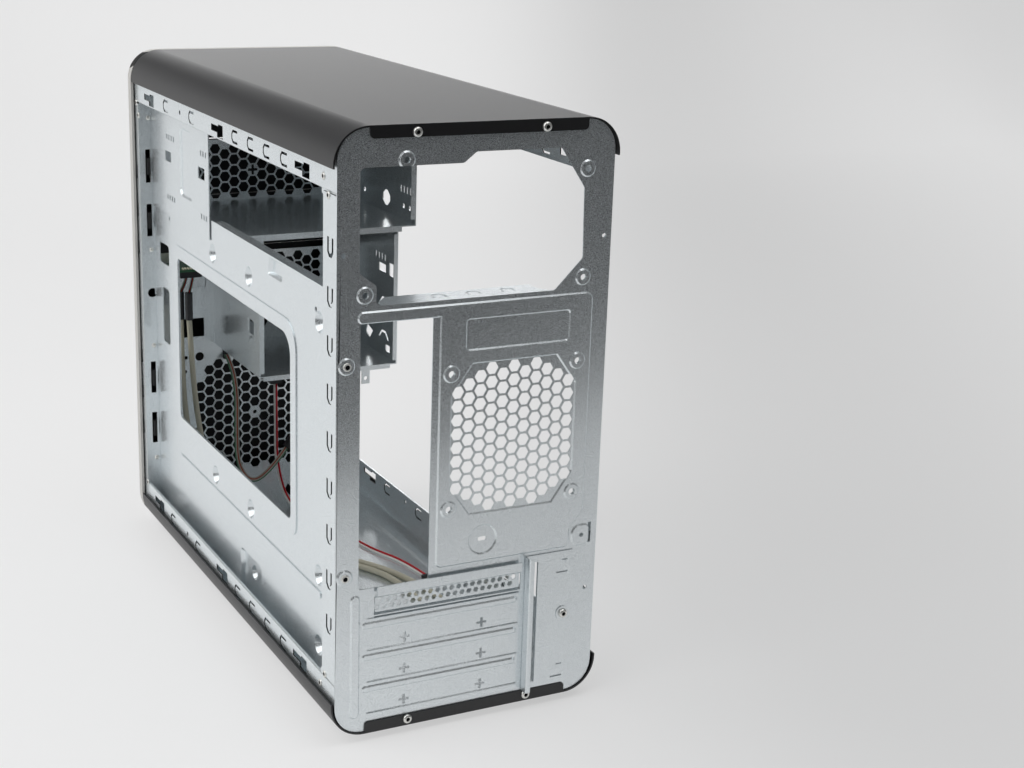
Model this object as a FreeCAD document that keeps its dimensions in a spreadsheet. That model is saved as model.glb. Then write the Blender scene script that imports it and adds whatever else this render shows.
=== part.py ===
import FreeCAD, Part
import math
import os
from FreeCAD import Placement, Rotation, Vector

# Tower computer case for a small mainboard, both side panels taken off.
# Lengths are millimetres. While it is drawn, y = 0 is the outside of the rear
# panel, the front lies along -y, and z = 0 is the underside of the lower cover.
# At the end each piece is placed so that the feet stand on z = 0 and the origin
# is below the middle of the whole case.

SIZES = {
    # Covers and the outline of the case
    "case_width": 178.0,
    "case_height": 360.7,
    "cover_depth": 387.0,
    "cover_sheet": 1.0,
    "corner_radius": 21.0,
    "cover_drop": 22.7,
    "cover_flange_width": 135.0,
    "cover_flange_height": 6.2,
    "cover_screw_spread": 80.0,
    "cover_screw_inset": 4.4,
    # Steel frame
    "steel": 0.8,
    "frame_width": 172.6,
    "frame_depth": 380.0,
    "top_rail_height": 35.7,
    "bottom_rail_height": 32.3,
    "rail_fold": 2.0,
    "rear_flange": 20.0,
    "front_flange": 12.0,
    "panel_gap": 1.0,
    "rivet_tab": 24.0,
    # Power supply opening, measured from its lower left screw hole
    "supply_hole_x": 69.5,
    "supply_hole_below_top": 93.6,
    "supply_spread": 138.0,
    "supply_rise": 64.0,
    "supply_upper_rise": 74.0,
    "supply_upper_shift": 24.0,
    "supply_screw": 1.9,
    "shelf_depth": 18.0,
    # Connector opening of the mainboard
    "connector_left": 71.9,
    "connector_width": 44.45,
    "connector_bottom": 92.35,
    "connector_height": 158.75,
    # Rear fan
    "fan_x": -25.45,
    "fan_z": 175.5,
    "fan_hole_spread": 82.5,
    "fan_hole": 2.1,
    "fan_field_width": 82.0,
    "fan_field_height": 93.0,
    # Perforation: hexagons with a narrow web between them
    "hexagon": 7.2,
    "web": 1.2,
    # Card slots
    "slot_pitch": 20.32,
    "slot_first": 17.3,
    "slot_left": 66.0,
    "slot_right": -33.4,
    "slot_cut": 1.2,
    "vent_hole": 3.2,
    "vent_pitch": 4.6,
    "retainer_left": -37.0,
    "retainer_right": -70.0,
    "retainer_bottom": 7.7,
    "retainer_top": 96.0,
    "retainer_lip": 7.0,
    "retainer_hook": 3.2,
    # Mainboard tray
    "tray_x": 76.5,
    "tray_top": 262.7,
    "tray_fold": 7.0,
    "tray_front_fold": 8.5,
    "window_rear": 96.0,
    "window_front": 322.5,
    "window_bottom": 102.5,
    "window_top": 221.0,
    "window_radius": 14.0,
    "standoff": 3.2,
    "standoff_height": 3.0,
    "board_column": 33.02,
    "board_rear": 17.0,
    "board_top": 240.5,
    # Drive bays
    "bay_rear": 248.0,
    "bay_floor": 249.8,
    "bay_left": -74.8,
    "cage_right": 32.0,
    "cage_rear": 278.0,
    "cage_bottom": 139.0,
    "cage_fold": 3.2,
    # Bezel
    "bezel_depth": 15.0,
    "bezel_wall": 1.8,
    "bezel_rounding": 9.0,
    "bezel_gap": 1.0,
    # Front sockets, button and light
    "button_width": 26.0,
    "button_height": 14.0,
    "button_x": 0.0,
    "button_z": 176.0,
    "button_travel": 1.5,
    "running_gap": 0.3,
    "board_thick": 1.6,
    # Feet
    "foot_height": 5.0,
    "foot_radius": 9.0,
    "foot_inset_x": 24.0,
    "foot_inset_y": 34.0,
    # Small fasteners
    "screw_head": 2.9,
    "screw_head_height": 2.0,
    "screw_shank": 1.5,
    "screw_length": 3.2,
    # Leads inside the case
    "cable_radius": 2.1,
    "sleeve_radius": 2.8,
    "sleeve_length": 20.5,
    "lead_radius": 1.2,
}

doc = FreeCAD.newDocument("tower_case")
sheet = doc.addObject("Spreadsheet::Sheet", "Sizes")
for row, (alias, value) in enumerate(SIZES.items(), start=1):
    sheet.set("A%d" % row, alias)
    sheet.set("B%d" % row, str(value))
    sheet.setAlias("B%d" % row, alias)
doc.recompute()


def size(alias):
    """One driving size, read back from the sheet."""
    return float(sheet.get(alias))


steel = size("steel")
frame_half = size("frame_width") / 2
case_half = size("case_width") / 2
frame_depth = size("frame_depth")
pan_bottom = size("cover_sheet")
pan_top = size("case_height") - size("cover_sheet")
cover_inner_radius = size("corner_radius") - size("cover_sheet")
pan_radius = cover_inner_radius - (case_half - size("cover_sheet") - frame_half)
top_rail_edge = pan_top - size("top_rail_height")
bottom_rail_edge = pan_bottom + size("bottom_rail_height")
supply_x = size("supply_hole_x")
supply_z = size("case_height") - size("supply_hole_below_top")

# Outlines: closed lists of sketch edges, drawn in the two directions of a plane

TURNS = {
    "XY_Plane": Rotation(),
    "XZ_Plane": Rotation(Vector(1, 0, 0), 90),
    "YZ_Plane": Rotation(Vector(1, 1, 1), 120),
}


def polygon(points):
    """Straight edges through the points, closed."""
    corners = [Vector(x, y, 0) for x, y in points]
    return [Part.LineSegment(a, b) for a, b in zip(corners, corners[1:] + corners[:1])]


def rounded(points, radii):
    """A closed outline whose corners are tangent arcs; one radius, or one a corner."""
    if not isinstance(radii, (list, tuple)):
        radii = [radii] * len(points)
    corners = [Vector(x, y, 0) for x, y in points]
    arcs = []
    for i, corner in enumerate(corners):
        before = (corners[i - 1] - corner).normalize()
        after = (corners[(i + 1) % len(corners)] - corner).normalize()
        if radii[i] <= 0:
            arcs.append((corner, None, corner))
            continue
        half = before.getAngle(after) / 2
        reach = radii[i] / math.tan(half)
        middle = corner + (before + after).normalize() * (radii[i] / math.sin(half) - radii[i])
        arcs.append((corner + before * reach, middle, corner + after * reach))
    edges = []
    for (start, middle, end), (following, _, _) in zip(arcs, arcs[1:] + arcs[:1]):
        if middle is not None:
            edges.append(Part.Arc(start, middle, end))
        if end.distanceToPoint(following) > 1e-6:
            edges.append(Part.LineSegment(end, following))
    return edges


def rectangle(x0, x1, y0, y1, radius=0):
    """An upright rectangle, with rounded corners if a radius is given."""
    return rounded([(x0, y0), (x1, y0), (x1, y1), (x0, y1)], radius)


def circle(x, y, radius):
    return [Part.Circle(Vector(x, y, 0), Vector(0, 0, 1), radius)]


def hexagon(x, y, flats):
    """A hexagon with flat top and bottom, given across its flats."""
    reach = flats / math.sqrt(3)
    turns = [math.radians(60 * i) for i in range(6)]
    return polygon([(x + reach * math.cos(a), y + reach * math.sin(a)) for a in turns])


def small_hole(x, y, radius):
    """A small punched hole, drawn with eight sides."""
    turns = [math.radians(22.5 + 45 * i) for i in range(8)]
    return polygon([(x + radius * math.cos(a), y + radius * math.sin(a)) for a in turns])


def cross(x, y, reach, half):
    """An upright cross; half is half the width of its arms."""
    arm = [(half, half), (half, reach), (-half, reach)]
    turned = [(1, 0), (0, 1), (-1, 0), (0, -1)]
    return polygon([(x + px * c - py * s, y + px * s + py * c) for c, s in turned for px, py in arm])


def ribbon(points, radii, thickness):
    """The section of a folded sheet: a path with bends, thickened to its left."""
    path = [Vector(x, y, 0) for x, y in points]
    inner = []
    for i, corner in enumerate(path):
        ahead = (path[min(i + 1, len(path) - 1)] - path[min(i, len(path) - 2)]).normalize()
        behind = (path[max(i, 1)] - path[max(i - 1, 0)]).normalize()
        left_ahead = Vector(-ahead.y, ahead.x, 0)
        left_behind = Vector(-behind.y, behind.x, 0)
        mitre = left_ahead + left_behind
        inner.append(corner + mitre * (2 * thickness / mitre.dot(mitre)))
    turns = []
    for i in range(1, len(path) - 1):
        leftward = (path[i] - path[i - 1]).cross(path[i + 1] - path[i]).z > 0
        turns.append(thickness if leftward else -thickness)
    outer_radii = [0] + list(radii) + [0]
    inner_radii = [0] + [max(0, r - t) if r > 0 else 0 for r, t in zip(radii, turns)] + [0]
    outline = [(p.x, p.y) for p in path] + [(p.x, p.y) for p in reversed(inner)]
    return rounded(outline, outer_radii + inner_radii[::-1])


def side(points):
    """Turns (distance behind the rear face, height) into the side plane's directions."""
    return [(-depth, height) for depth, height in points]


def side_box(depth0, depth1, z0, z1, radius=0):
    return rectangle(-depth1, -depth0, z0, z1, radius)


def u_cut(x, y, width, height, line, turn):
    """A U-shaped cut with a blunted foot that frees a tongue; turned by quarter turns."""
    w = width / 2
    blunt = 0.3 * width
    inner = max(0, blunt - 0.6 * line)
    shape = [(-w, height), (-w, blunt), (blunt - w, 0), (w - blunt, 0), (w, blunt), (w, height),
             (w - line, height), (w - line, line + inner), (w - line - inner, line),
             (line - w + inner, line), (line - w, line + inner), (line - w, height)]
    c, s = [(1, 0), (0, 1), (-1, 0), (0, -1)][turn % 4]
    return polygon([(x + px * c - py * s, y + px * s + py * c) for px, py in shape])


def honeycomb(x_middle, z_middle, half_width, half_height, corner_cut):
    """Centres of a hexagon field round a middle cell, with its corners cut off."""
    pitch = size("hexagon") + size("web")
    column_step = pitch * math.sqrt(3) / 2
    columns = int(half_width // column_step)
    rows = int(half_height // pitch) + 1
    centres = []
    for column in range(-columns, columns + 1):
        for row in range(-rows, rows + 1):
            dx = column * column_step
            dz = row * pitch + (pitch / 2 if column % 2 else 0)
            if abs(dz) <= half_height and abs(dx) + abs(dz) <= corner_cut:
                centres.append((x_middle + dx, z_middle + dz))
    return centres


# Making solids: sketched bodies for the blanks, and one set of punches for each sheet

def origin_plane(body, role):
    return [item for item in body.Origin.OriginFeatures if item.Role == role][0]


def new_body(label):
    body = doc.addObject("PartDesign::Body", label)
    body.Label = label
    return body


def pad(body, name, plane, start, length, outlines, taper=0):
    """Pads the outlines from an origin plane; start and length are expressions or numbers."""
    sketch = body.newObject("Sketcher::SketchObject", name + "_sketch")
    sketch.AttachmentSupport = [(origin_plane(body, plane), "")]
    sketch.MapMode = "FlatFace"
    sketch.addGeometry([edge for outline in outlines for edge in outline], False)
    sketch.setExpression("AttachmentOffset.Base.z", str(start))
    feature = body.newObject("PartDesign::Pad", name)
    feature.Profile = sketch
    feature.setExpression("Length", str(length))
    feature.TaperAngle = taper
    return feature


def prisms(plane, start, length, outlines):
    """One solid for each closed outline, raised square to an origin plane."""
    turn = TURNS[plane]
    result = []
    for outline in outlines:
        face = Part.Face(Part.Wire(Part.__sortEdges__([edge.toShape() for edge in outline])))
        face.Placement = Placement(turn.multVec(Vector(0, 0, start)), turn)
        result.append(face.extrude(turn.multVec(Vector(0, 0, length))))
    return result


def inset(points, amount):
    """The corners of a convex outline, moved inwards by amount."""
    corners = [Vector(x, y, 0) for x, y in points]
    moved = []
    for i, corner in enumerate(corners):
        before = (corners[i - 1] - corner).normalize()
        after = (corners[(i + 1) % len(corners)] - corner).normalize()
        step = corner + (before + after).normalize() * (amount / math.sin(before.getAngle(after) / 2))
        moved.append((step.x, step.y))
    return moved


def sloped(plane, start, length, points, radius, slope):
    """A block over a convex outline that narrows by slope on every side along its length."""
    turn = TURNS[plane]
    wires = []
    for reach, amount in ((start, 0), (start + length, slope)):
        edges = rounded(inset(points, amount), max(0, radius - amount))
        wire = Part.Wire(Part.__sortEdges__([edge.toShape() for edge in edges]))
        wire.Placement = Placement(turn.multVec(Vector(0, 0, reach)), turn)
        wires.append(wire)
    return Part.makeLoft(wires, True, True)


def punched(label, blank, tools):
    """The blank with all its openings cut out in one stroke."""
    blank.Label = label + "_blank"
    punch = doc.addObject("Part::Feature", label + "_punch")
    punch.Shape = Part.makeCompound(tools)
    cut = doc.addObject("Part::Cut", label)
    cut.Base = blank
    cut.Tool = punch
    cut.Label = label
    pieces.append(cut)
    return cut


def finished(body):
    pieces.append(body)
    return body


def from_shape(label, shape):
    """A piece whose form is set directly, where neither a sketch nor a primitive fits."""
    feature = doc.addObject("Part::Feature", label)
    feature.Label = label
    feature.Shape = shape
    pieces.append(feature)
    return feature


def through_panel(start, outlines, depth=None):
    """Punches square through a panel that faces the rear, from start towards the front."""
    reach = depth if depth else 4 * steel
    return prisms("XZ_Plane", start - (reach - steel) / 2, reach, outlines)


pieces = []

# Rear panel: one galvanised sheet, flat behind, with a flange folded forward at each side


def panel_outline(half, low, high, radius):
    return rectangle(-half, half, low, high, radius)


def side_strips(outer, z0, z1):
    """The two upright strips where a flange's section meets the panel."""
    return [rectangle(outer - steel, outer, z0, z1), rectangle(-outer, steel - outer, z0, z1)]


flange_low = bottom_rail_edge + size("panel_gap")
flange_high = top_rail_edge - size("panel_gap")
raised = 0.8
press_angle = 50

rear = new_body("rear_panel_body")
pad(rear, "rear_sheet", "XZ_Plane", 0, "Sizes.steel",
    [panel_outline(frame_half, pan_bottom, pan_top, pan_radius)])
pad(rear, "rear_flanges", "XZ_Plane", 0, "Sizes.rear_flange",
    side_strips(frame_half, flange_low, flange_high))
tab_lap = 2.0
tab_spans = ((pan_bottom + pan_radius, flange_low + tab_lap), (flange_high - tab_lap, pan_top - pan_radius))
rivet_tabs = [strip for low, high in tab_spans for strip in side_strips(frame_half - steel, low, high)]
pad(rear, "rear_rivet_tabs", "XZ_Plane", 0, "Sizes.rivet_tab", rivet_tabs)
shelf_z = supply_z - 7.3
pad(rear, "supply_shelf", "XY_Plane", shelf_z, "Sizes.steel",
    [polygon([(58, 0), (-48, 0), (-42.5, -8), (-42.5, -size("shelf_depth")),
              (50, -size("shelf_depth")), (58, -8)])])

connector_right = size("connector_left") - size("connector_width")
connector_top = size("connector_bottom") + size("connector_height")
plateau_top = connector_top + 6.0
plateau_left = connector_right - 5.0
pad(rear, "plateau", "XZ_Plane", -raised, raised,
    [rounded([(size("connector_left") + 1, plateau_top - 5.4), (size("connector_left") + 1, plateau_top),
              (-75, plateau_top), (-75, 122), (-66, 110), (-66, 99), (plateau_left, 99),
              (plateau_left, plateau_top - 5.4)], [2.6, 2.6, 4, 3, 3, 3, 3, 0])], press_angle)
supply_screws = [(supply_x, supply_z), (supply_x - size("supply_spread"), supply_z),
                 (supply_x - size("supply_upper_shift"), supply_z + size("supply_upper_rise")),
                 (supply_x - size("supply_spread"), supply_z + size("supply_rise"))]
lock_screws = [(80.1, 227.5), (80.6, 101.2)]
rings = [circle(x, z, 4.2) for x, z in supply_screws + lock_screws]
pad(rear, "screw_seats", "XZ_Plane", -raised, raised, rings, press_angle)
reach = size("fan_hole_spread") / 2
fan_screws = [(size("fan_x") + sx * reach, size("fan_z") + sz * reach) for sx in (1, -1) for sz in (1, -1)]
pad(rear, "fan_screw_seats", "XZ_Plane", -2 * raised, raised + 0.1,
    [circle(x, z, 4.4) for x, z in fan_screws], press_angle)
slot_beads = [rectangle(size("slot_right") + 2, 68.4, size("slot_first") + k * size("slot_pitch") - 10.4,
                        size("slot_first") + k * size("slot_pitch") - 8.0, 1.1) for k in (1, 2, 3)]
pad(rear, "slot_beads", "XZ_Plane", -raised, raised, slot_beads, press_angle)
pad(rear, "corner_bead", "XZ_Plane", -raised, raised, [rectangle(71.8, 76.0, 11.6, 88.4, 2)], press_angle)
lance_x, lance_z, lance_half = -75.3, 104.6, 6.2
pad(rear, "lance_seat", "XZ_Plane", -raised, raised,
    [rectangle(lance_x - lance_half, lance_x + lance_half, lance_z - lance_half, lance_z + lance_half, 5.4)],
    press_angle)

supply_cut = [(72.8, supply_z + 12.5), (72.8, supply_z + 70.7), (10.7, supply_z + 70.7),
              (3, supply_z + 76.7), (-51, supply_z + 76.7), (-67.1, supply_z + 53.1),
              (-68, supply_z + 11.2), (-50.4, supply_z - 6.5), (62.6, supply_z - 6.5),
              (62.6, supply_z + 5)]
fan_field = honeycomb(size("fan_x"), size("fan_z"), size("fan_field_width") / 2 - 3,
                      size("fan_field_height") / 2 - 3, 66)
openings = [rounded(supply_cut, 3),
            rectangle(connector_right, size("connector_left"), size("connector_bottom"), connector_top, 0.6)]
openings += [hexagon(x, z, size("hexagon")) for x, z in fan_field]
openings += [circle(x, z, size("supply_screw")) for x, z in supply_screws]
openings += [circle(x, z, size("fan_hole")) for x, z in fan_screws]
openings += [small_hole(x, z, 1.6) for x, z in lock_screws]
edge_holes = [(82.4, 290.2), (-81.6, 290.9), (-80, 68.9)]
openings += [small_hole(x, z, 1.5) for x, z in edge_holes + [(lance_x, lance_z)]]
openings.append(rectangle(lance_x - 7.0, lance_x - 4.9, lance_z - 5.9, lance_z + 7.4))
cover_screw_places = [(sign * size("cover_screw_spread") / 2, z) for sign in (1, -1)
                      for z in (size("cover_screw_inset"), size("case_height") - size("cover_screw_inset"))]
retainer_screw = (-64.1, 54.8)
screw_play = 0.1
openings += [small_hole(x, z, (size("screw_shank") + screw_play) / math.cos(math.pi / 8))
             for x, z in cover_screw_places + [retainer_screw]]
for k in range(4):
    slit_z = size("slot_first") + k * size("slot_pitch") - 5.2
    openings.append(rectangle(size("slot_right"), size("slot_left"), slit_z, slit_z + size("slot_cut")))
for k in range(3):
    for x in (42.1, -8.7):
        z = size("slot_first") + k * size("slot_pitch")
        openings.append(cross(x, z, 3.3, 0.8))
vent_low = size("slot_first") + 3 * size("slot_pitch") - 3.2
vent_high = vent_low + 15.0
openings.append(rectangle(size("slot_right") - 1, 62.0, vent_low, vent_high))
knock_x, knock_z, knock_radius = -7.4, 112.1, 9.6
openings.append(rectangle(knock_x - 2.8, knock_x + 2.8, knock_z - 1.2, knock_z + 1.6, 1))
retainer_gap = [rectangle(size("retainer_left") - 9.0, size("retainer_left") - 4.0,
                          size("retainer_bottom") + 4, size("retainer_top") - 4.5)]
openings += retainer_gap
tools = through_panel(0, openings, 8)
tongue_pitch = 28.0
tongues = [u_cut(-9.3, 63.8 + k * tongue_pitch, 8.8, 11.2, 2.2, 0) for k in range(9)]
tools += prisms("YZ_Plane", frame_half - 3 * steel, 4 * steel, tongues)
tools += prisms("YZ_Plane", -frame_half - steel, 4 * steel, tongues)
above = 0.3
press_depth = raised + above
press_slope = press_depth * math.tan(math.radians(press_angle))
label_recess = [(-61.5, 229), (7.5, 229), (7.5, 249), (-61.5, 249)]
field_half_w = size("fan_field_width") / 2 + 0.6
field_half_h = size("fan_field_height") / 2 + 0.6
field_recess = [(size("fan_x") + x, size("fan_z") + z) for x, z in
                ((-field_half_w, -28), (-28, -field_half_h), (28, -field_half_h), (field_half_w, -28),
                 (field_half_w, 28), (28, field_half_h), (-28, field_half_h), (-field_half_w, 28))]
tools.append(sloped("XZ_Plane", -press_depth, press_depth, label_recess, 3, press_slope))
tools.append(sloped("XZ_Plane", -press_depth, press_depth, field_recess, 0, press_slope))
knock_mouth = knock_radius + above * press_slope / press_depth
tools.append(Part.makeCone(knock_mouth, knock_mouth - press_slope, press_depth,
                           Vector(knock_x, press_depth, knock_z), Vector(0, -1, 0)))
tools += [solid for x in (20, -2, -24) for solid in
          prisms("XY_Plane", shelf_z - steel, 3 * steel, [u_cut(x, -14.5, 9, 7.5, 1.4, 0)])]
punched("rear_panel", rear, tools)

# Perforated cover of the top card slot, hooked behind the panel and lapped on its face
vented = new_body("vented_slot_cover_body")
lip_high = vent_high + 3.4
lip_proud = 2.8
section = ribbon([(-2 * steel, vent_low - 3), (-2 * steel, vent_low + 0.6), (-steel, vent_low + 0.6 + steel),
                  (-steel, vent_high - 4.6), (lip_proud, vent_high - 2.2), (lip_proud, lip_high)],
                 [0, 0, 0, 0], steel)
pad(vented, "vented_section", "YZ_Plane", size("slot_right") - 0.4, 95.0 - 0.2, [section])
vent_rows = []
for row_index in range(2):
    for column in range(20):
        x = size("slot_right") + 3.4 + (column + 0.5 * row_index) * size("vent_pitch")
        vent_rows.append(hexagon(x, vent_low + 4.6 + (1 - row_index) * 4.0, size("vent_hole")))
punched("vented_slot_cover", vented, prisms("XZ_Plane", -2, 6, vent_rows))

# Card retainer: a screwed strip whose edge is folded out and back over the card ends
retainer = new_body("card_retainer_body")
retainer_path = [(size("retainer_right"), 0), (size("retainer_left"), 0),
                 (size("retainer_left"), size("retainer_lip")),
                 (size("retainer_left") - size("retainer_hook"), size("retainer_lip"))]
pad(retainer, "retainer_section", "XY_Plane", "Sizes.retainer_bottom",
    "Sizes.retainer_top - Sizes.retainer_bottom", [ribbon(retainer_path, [1.2, 1.2], steel)])
pad(retainer, "retainer_seat", "XZ_Plane", -steel - 0.6, "0.6 mm", [circle(*retainer_screw, 4.6)])
marks = [(-62.7, 82.5), (-61.5, 12.6)]
retainer_openings = [circle(*retainer_screw, size("screw_shank"))] + retainer_gap
for x, z in marks:
    retainer_openings += [rectangle(x - 3.9, x + 3.9, z - 0.6, z + 0.6),
                          rectangle(x - 3.7, x + 0.2, z + 7.5, z + 8.2)]
tools = prisms("XZ_Plane", -4, 5, retainer_openings)
punched("card_retainer", retainer, tools)

# The slot screw of the retainer, and the four screws of the covers


def screw(x, z, seat_depth):
    """A pan head on a short plain shank, driven in from the rear."""
    head, top = size("screw_head"), size("screw_head_height")
    shank, tip = size("screw_shank"), -size("screw_length")
    section = [(0, tip), (shank, tip), (shank, 0), (head, 0), (head, top - 0.8), (head - 1.1, top), (0, top)]
    corners = [Vector(x + radius, height - seat_depth, z) for radius, height in section]
    face = Part.Face(Part.makePolygon(corners + corners[:1]))
    return face.revolve(Vector(x, 0, z), Vector(0, 1, 0), 360)


from_shape("retainer_screw", screw(*retainer_screw, -steel - 0.6))

# Lower and upper pans: wide folded channels whose walls carry the side panels


def key_slot(rear_end, z):
    """A slot that a side panel's hook drops into and slides along."""
    return polygon(side([(rear_end, z - 4.2), (rear_end + 11.2, z - 4.2), (rear_end + 11.2, z - 1.2),
                         (rear_end + 23, z - 1.2), (rear_end + 23, z + 3), (rear_end + 9, z + 3),
                         (rear_end + 9, z + 4.2), (rear_end, z + 4.2)]))


def spring_cut(front_end, z):
    """A C-shaped cut that frees a contact spring, open towards the rear."""
    return u_cut(-front_end, z, 8.4, 11, 1.5, 3)


def side_punches(outlines):
    """The same openings through both side walls."""
    span = 4 * steel
    right = prisms("YZ_Plane", frame_half - span / 2 - steel / 2, span, outlines)
    left = prisms("YZ_Plane", -frame_half - span / 2 + steel / 2, span, outlines)
    return right + left


fold = size("rail_fold")
pan_length = frame_depth + size("front_flange") - steel
lower_path = [(-frame_half + fold, bottom_rail_edge), (-frame_half, bottom_rail_edge),
              (-frame_half, pan_bottom), (frame_half, pan_bottom),
              (frame_half, bottom_rail_edge), (frame_half - fold, bottom_rail_edge)]
upper_path = [(frame_half - fold, top_rail_edge), (frame_half, top_rail_edge), (frame_half, pan_top),
              (-frame_half, pan_top), (-frame_half, top_rail_edge), (-frame_half + fold, top_rail_edge)]
pan_radii = [1.2, pan_radius, pan_radius, 1.2]


def fold_ends(edge):
    """Clears the inward folds where the panels' tabs and the front panel pass."""
    low, high = edge - 2 * steel, edge + 2 * steel
    tools = []
    for sign in (1, -1):
        x0, x1 = sorted((sign * (frame_half - fold - 1), sign * (frame_half - steel)))
        for depth0, depth1 in ((0, size("rivet_tab") + 0.5), (frame_depth - 0.3, frame_depth + 20)):
            tools += prisms("XY_Plane", low, high - low, [rectangle(x0, x1, -depth1, -depth0)])
    return tools


def front_ends(z0, z1):
    """Shortens a pan's curved part, so that it stops before the bezel's wall."""
    start = size("cover_depth") + 0.5
    return prisms("XZ_Plane", start, size("front_flange"), [rectangle(-case_half, case_half, z0, z1)])


lower_pan = new_body("lower_pan_body")
pad(lower_pan, "lower_section", "XZ_Plane", steel, pan_length, [ribbon(lower_path, pan_radii, steel)])
lower_z = 26.0
lower_cuts = [key_slot(d, lower_z) for d in (45, 193, 339)]
lower_cuts += [spring_cut(d + 5.5, lower_z - 0.7) for d in (85.8, 114.5, 143.5, 172.6, 257.9, 316.6)]
lower_cuts += [small_hole(-281.5, 27, 1.6)]
punched("lower_pan", lower_pan, side_punches(lower_cuts) + fold_ends(bottom_rail_edge)
        + front_ends(0, pan_bottom + pan_radius))

upper_pan = new_body("upper_pan_body")
pad(upper_pan, "upper_section", "XZ_Plane", steel, pan_length, [ribbon(upper_path, pan_radii, steel)])
upper_z = top_rail_edge + 6.4
upper_cuts = [key_slot(d, upper_z - 0.8) for d in (40.5, 190, 340.5)]
upper_cuts += [spring_cut(d + 5.5, upper_z) for d in (81.5, 110.7, 138.9, 167.7, 255, 312.5)]
upper_cuts += [small_hole(-279.6, upper_z, 1.6)]
punched("upper_pan", upper_pan, side_punches(upper_cuts) + fold_ends(top_rail_edge)
        + front_ends(pan_top - pan_radius, size("case_height")))

# Front panel: a perforated sheet between the pans, its side flanges folded forward
front = new_body("front_panel_body")
inside = frame_half - steel
pad(front, "front_sheet", "XZ_Plane", "Sizes.frame_depth", "Sizes.steel",
    [panel_outline(inside, pan_bottom + steel, pan_top - steel, pan_radius - steel)])
pad(front, "front_middle", "XZ_Plane", "Sizes.frame_depth", "Sizes.steel",
    [rectangle(-frame_half, frame_half, flange_low, flange_high)])
pad(front, "front_flanges", "XZ_Plane", "Sizes.frame_depth", "Sizes.front_flange",
    side_strips(frame_half, flange_low, flange_high))
front_holes = []
lower_field = [cell for cell in honeycomb(0, 80.4, 46, 42.5, 76)
               if abs(cell[0]) + abs(cell[1] - 80.4) > 1]
bay_pitch = 43.0
door_field_z = size("bay_floor") + bay_pitch / 2
door_field = [cell for cell in honeycomb(0, door_field_z, 56, 17.0, 100)
              if abs(cell[0]) + abs(cell[1] - door_field_z) > 1]
cage_middle = (size("cage_right") + size("bay_left")) / 2
cage_field = honeycomb(cage_middle, 178, 34, 26, 100)
for x, z in lower_field + door_field + cage_field:
    front_holes.append(hexagon(x, z, size("hexagon")))
front_holes += [small_hole(0, 80.4, 1.6), circle(43.9, 129.6, 3.4)]
front_holes += [small_hole(54.6, 129.6, 1.5), small_hole(55.3, 118.5, 1.5)]
front_holes += [rectangle(40, 56.3, 145.5, 160), rectangle(22.1, 25.4, 126, 133.8)]
front_holes += [rectangle(-size("bay_left") - 3, size("bay_left") + 3, size("bay_floor") + bay_pitch + 2,
                          size("bay_floor") + 2 * bay_pitch - 4)]
bay_low, bay_high = 209.0, 236.0
front_holes += [rectangle(size("bay_left") + 2.4, size("cage_right") - 2.4, bay_low, bay_high)]
clip_z = [(65.0, 89.3), (104.8, 129.3), (225.5, 249.6), (265.5, 289.9)]
clip_x = frame_half - 6.2
for z0, z1 in clip_z:
    for sign in (1, -1):
        front_holes.append(rectangle(sign * clip_x - 1.9, sign * clip_x + 1.9, z0, z1))
front_holes += [circle(sign * 79.2, 182.6, 3.5) for sign in (1, -1)]
socket_x0, socket_x1, socket_z0, socket_z1 = 37.0, 75.0, 184.0, 226.0
front_holes.append(rectangle(socket_x0, socket_x1, socket_z0, socket_z1, 2))
front_holes.append(polygon([(-24, 12), (-27, 17), (-33.5, 10), (-30.5, 5)]))
front_holes.append(cross(0, door_field_z, 3.8, 1.0))
tools = prisms("XZ_Plane", frame_depth - 1, 4 * steel, front_holes)
front_tongues = [u_cut(-389.5, z, 7.6, 10.8, 1.4, 0) for z in (70.8, 98.9, 127.2, 210.5, 239.2, 267.2)]
tools += side_punches(front_tongues)
punched("front_panel", front, tools)

# Mainboard tray: an upright sheet with a big window and pressed seats for the board
tray_x = size("tray_x")
tray = new_body("mainboard_tray_body")
pan_middle_x = frame_half - pan_radius


def pan_floor(x):
    """Height of the lower pan's inner face at x."""
    reach = pan_radius - steel
    return pan_bottom + pan_radius - math.sqrt(reach ** 2 - max(0, x - pan_middle_x) ** 2)


def pan_ceiling(x):
    """Height of the upper pan's inner face at x."""
    return pan_top + pan_bottom - pan_floor(x)


seat = 0.2
tray_bottom = pan_floor(tray_x) + seat
tray_path = [(tray_x - size("tray_front_fold"), -frame_depth), (tray_x, -frame_depth),
             (tray_x, -2 * steel), (frame_half - 2 * steel - size("running_gap"), -2 * steel)]
pad(tray, "tray_section", "XY_Plane", tray_bottom, size("tray_top") - tray_bottom,
    [ribbon(tray_path, [1.2, 1.2], steel)])
pad(tray, "tray_top_fold", "XY_Plane", size("tray_top") - steel, "Sizes.steel",
    [rectangle(tray_x - size("tray_fold"), tray_x - steel / 2, -size("bay_rear") + 8, -42)])

def window_outline(border):
    """Corners of the tray's window, widened by a border."""
    near, far = size("window_rear") - border, size("window_front") + border
    low, high = size("window_bottom") - border, size("window_top") + border
    return side([(near, low), (near, high), (far, high), (far, low)])


window_points = window_outline(0)
corner = size("window_radius")
pad(tray, "window_border", "YZ_Plane", "Sizes.tray_x", "0.7 mm",
    [rounded(window_outline(9.0), [8, corner + 5, 8, 8]), rounded(window_points, [4, corner, 4, 4])])
pad(tray, "tray_bead", "YZ_Plane", "Sizes.tray_x", "0.8 mm", [side_box(46, 326, 69, 73.4, 2.1)])

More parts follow.
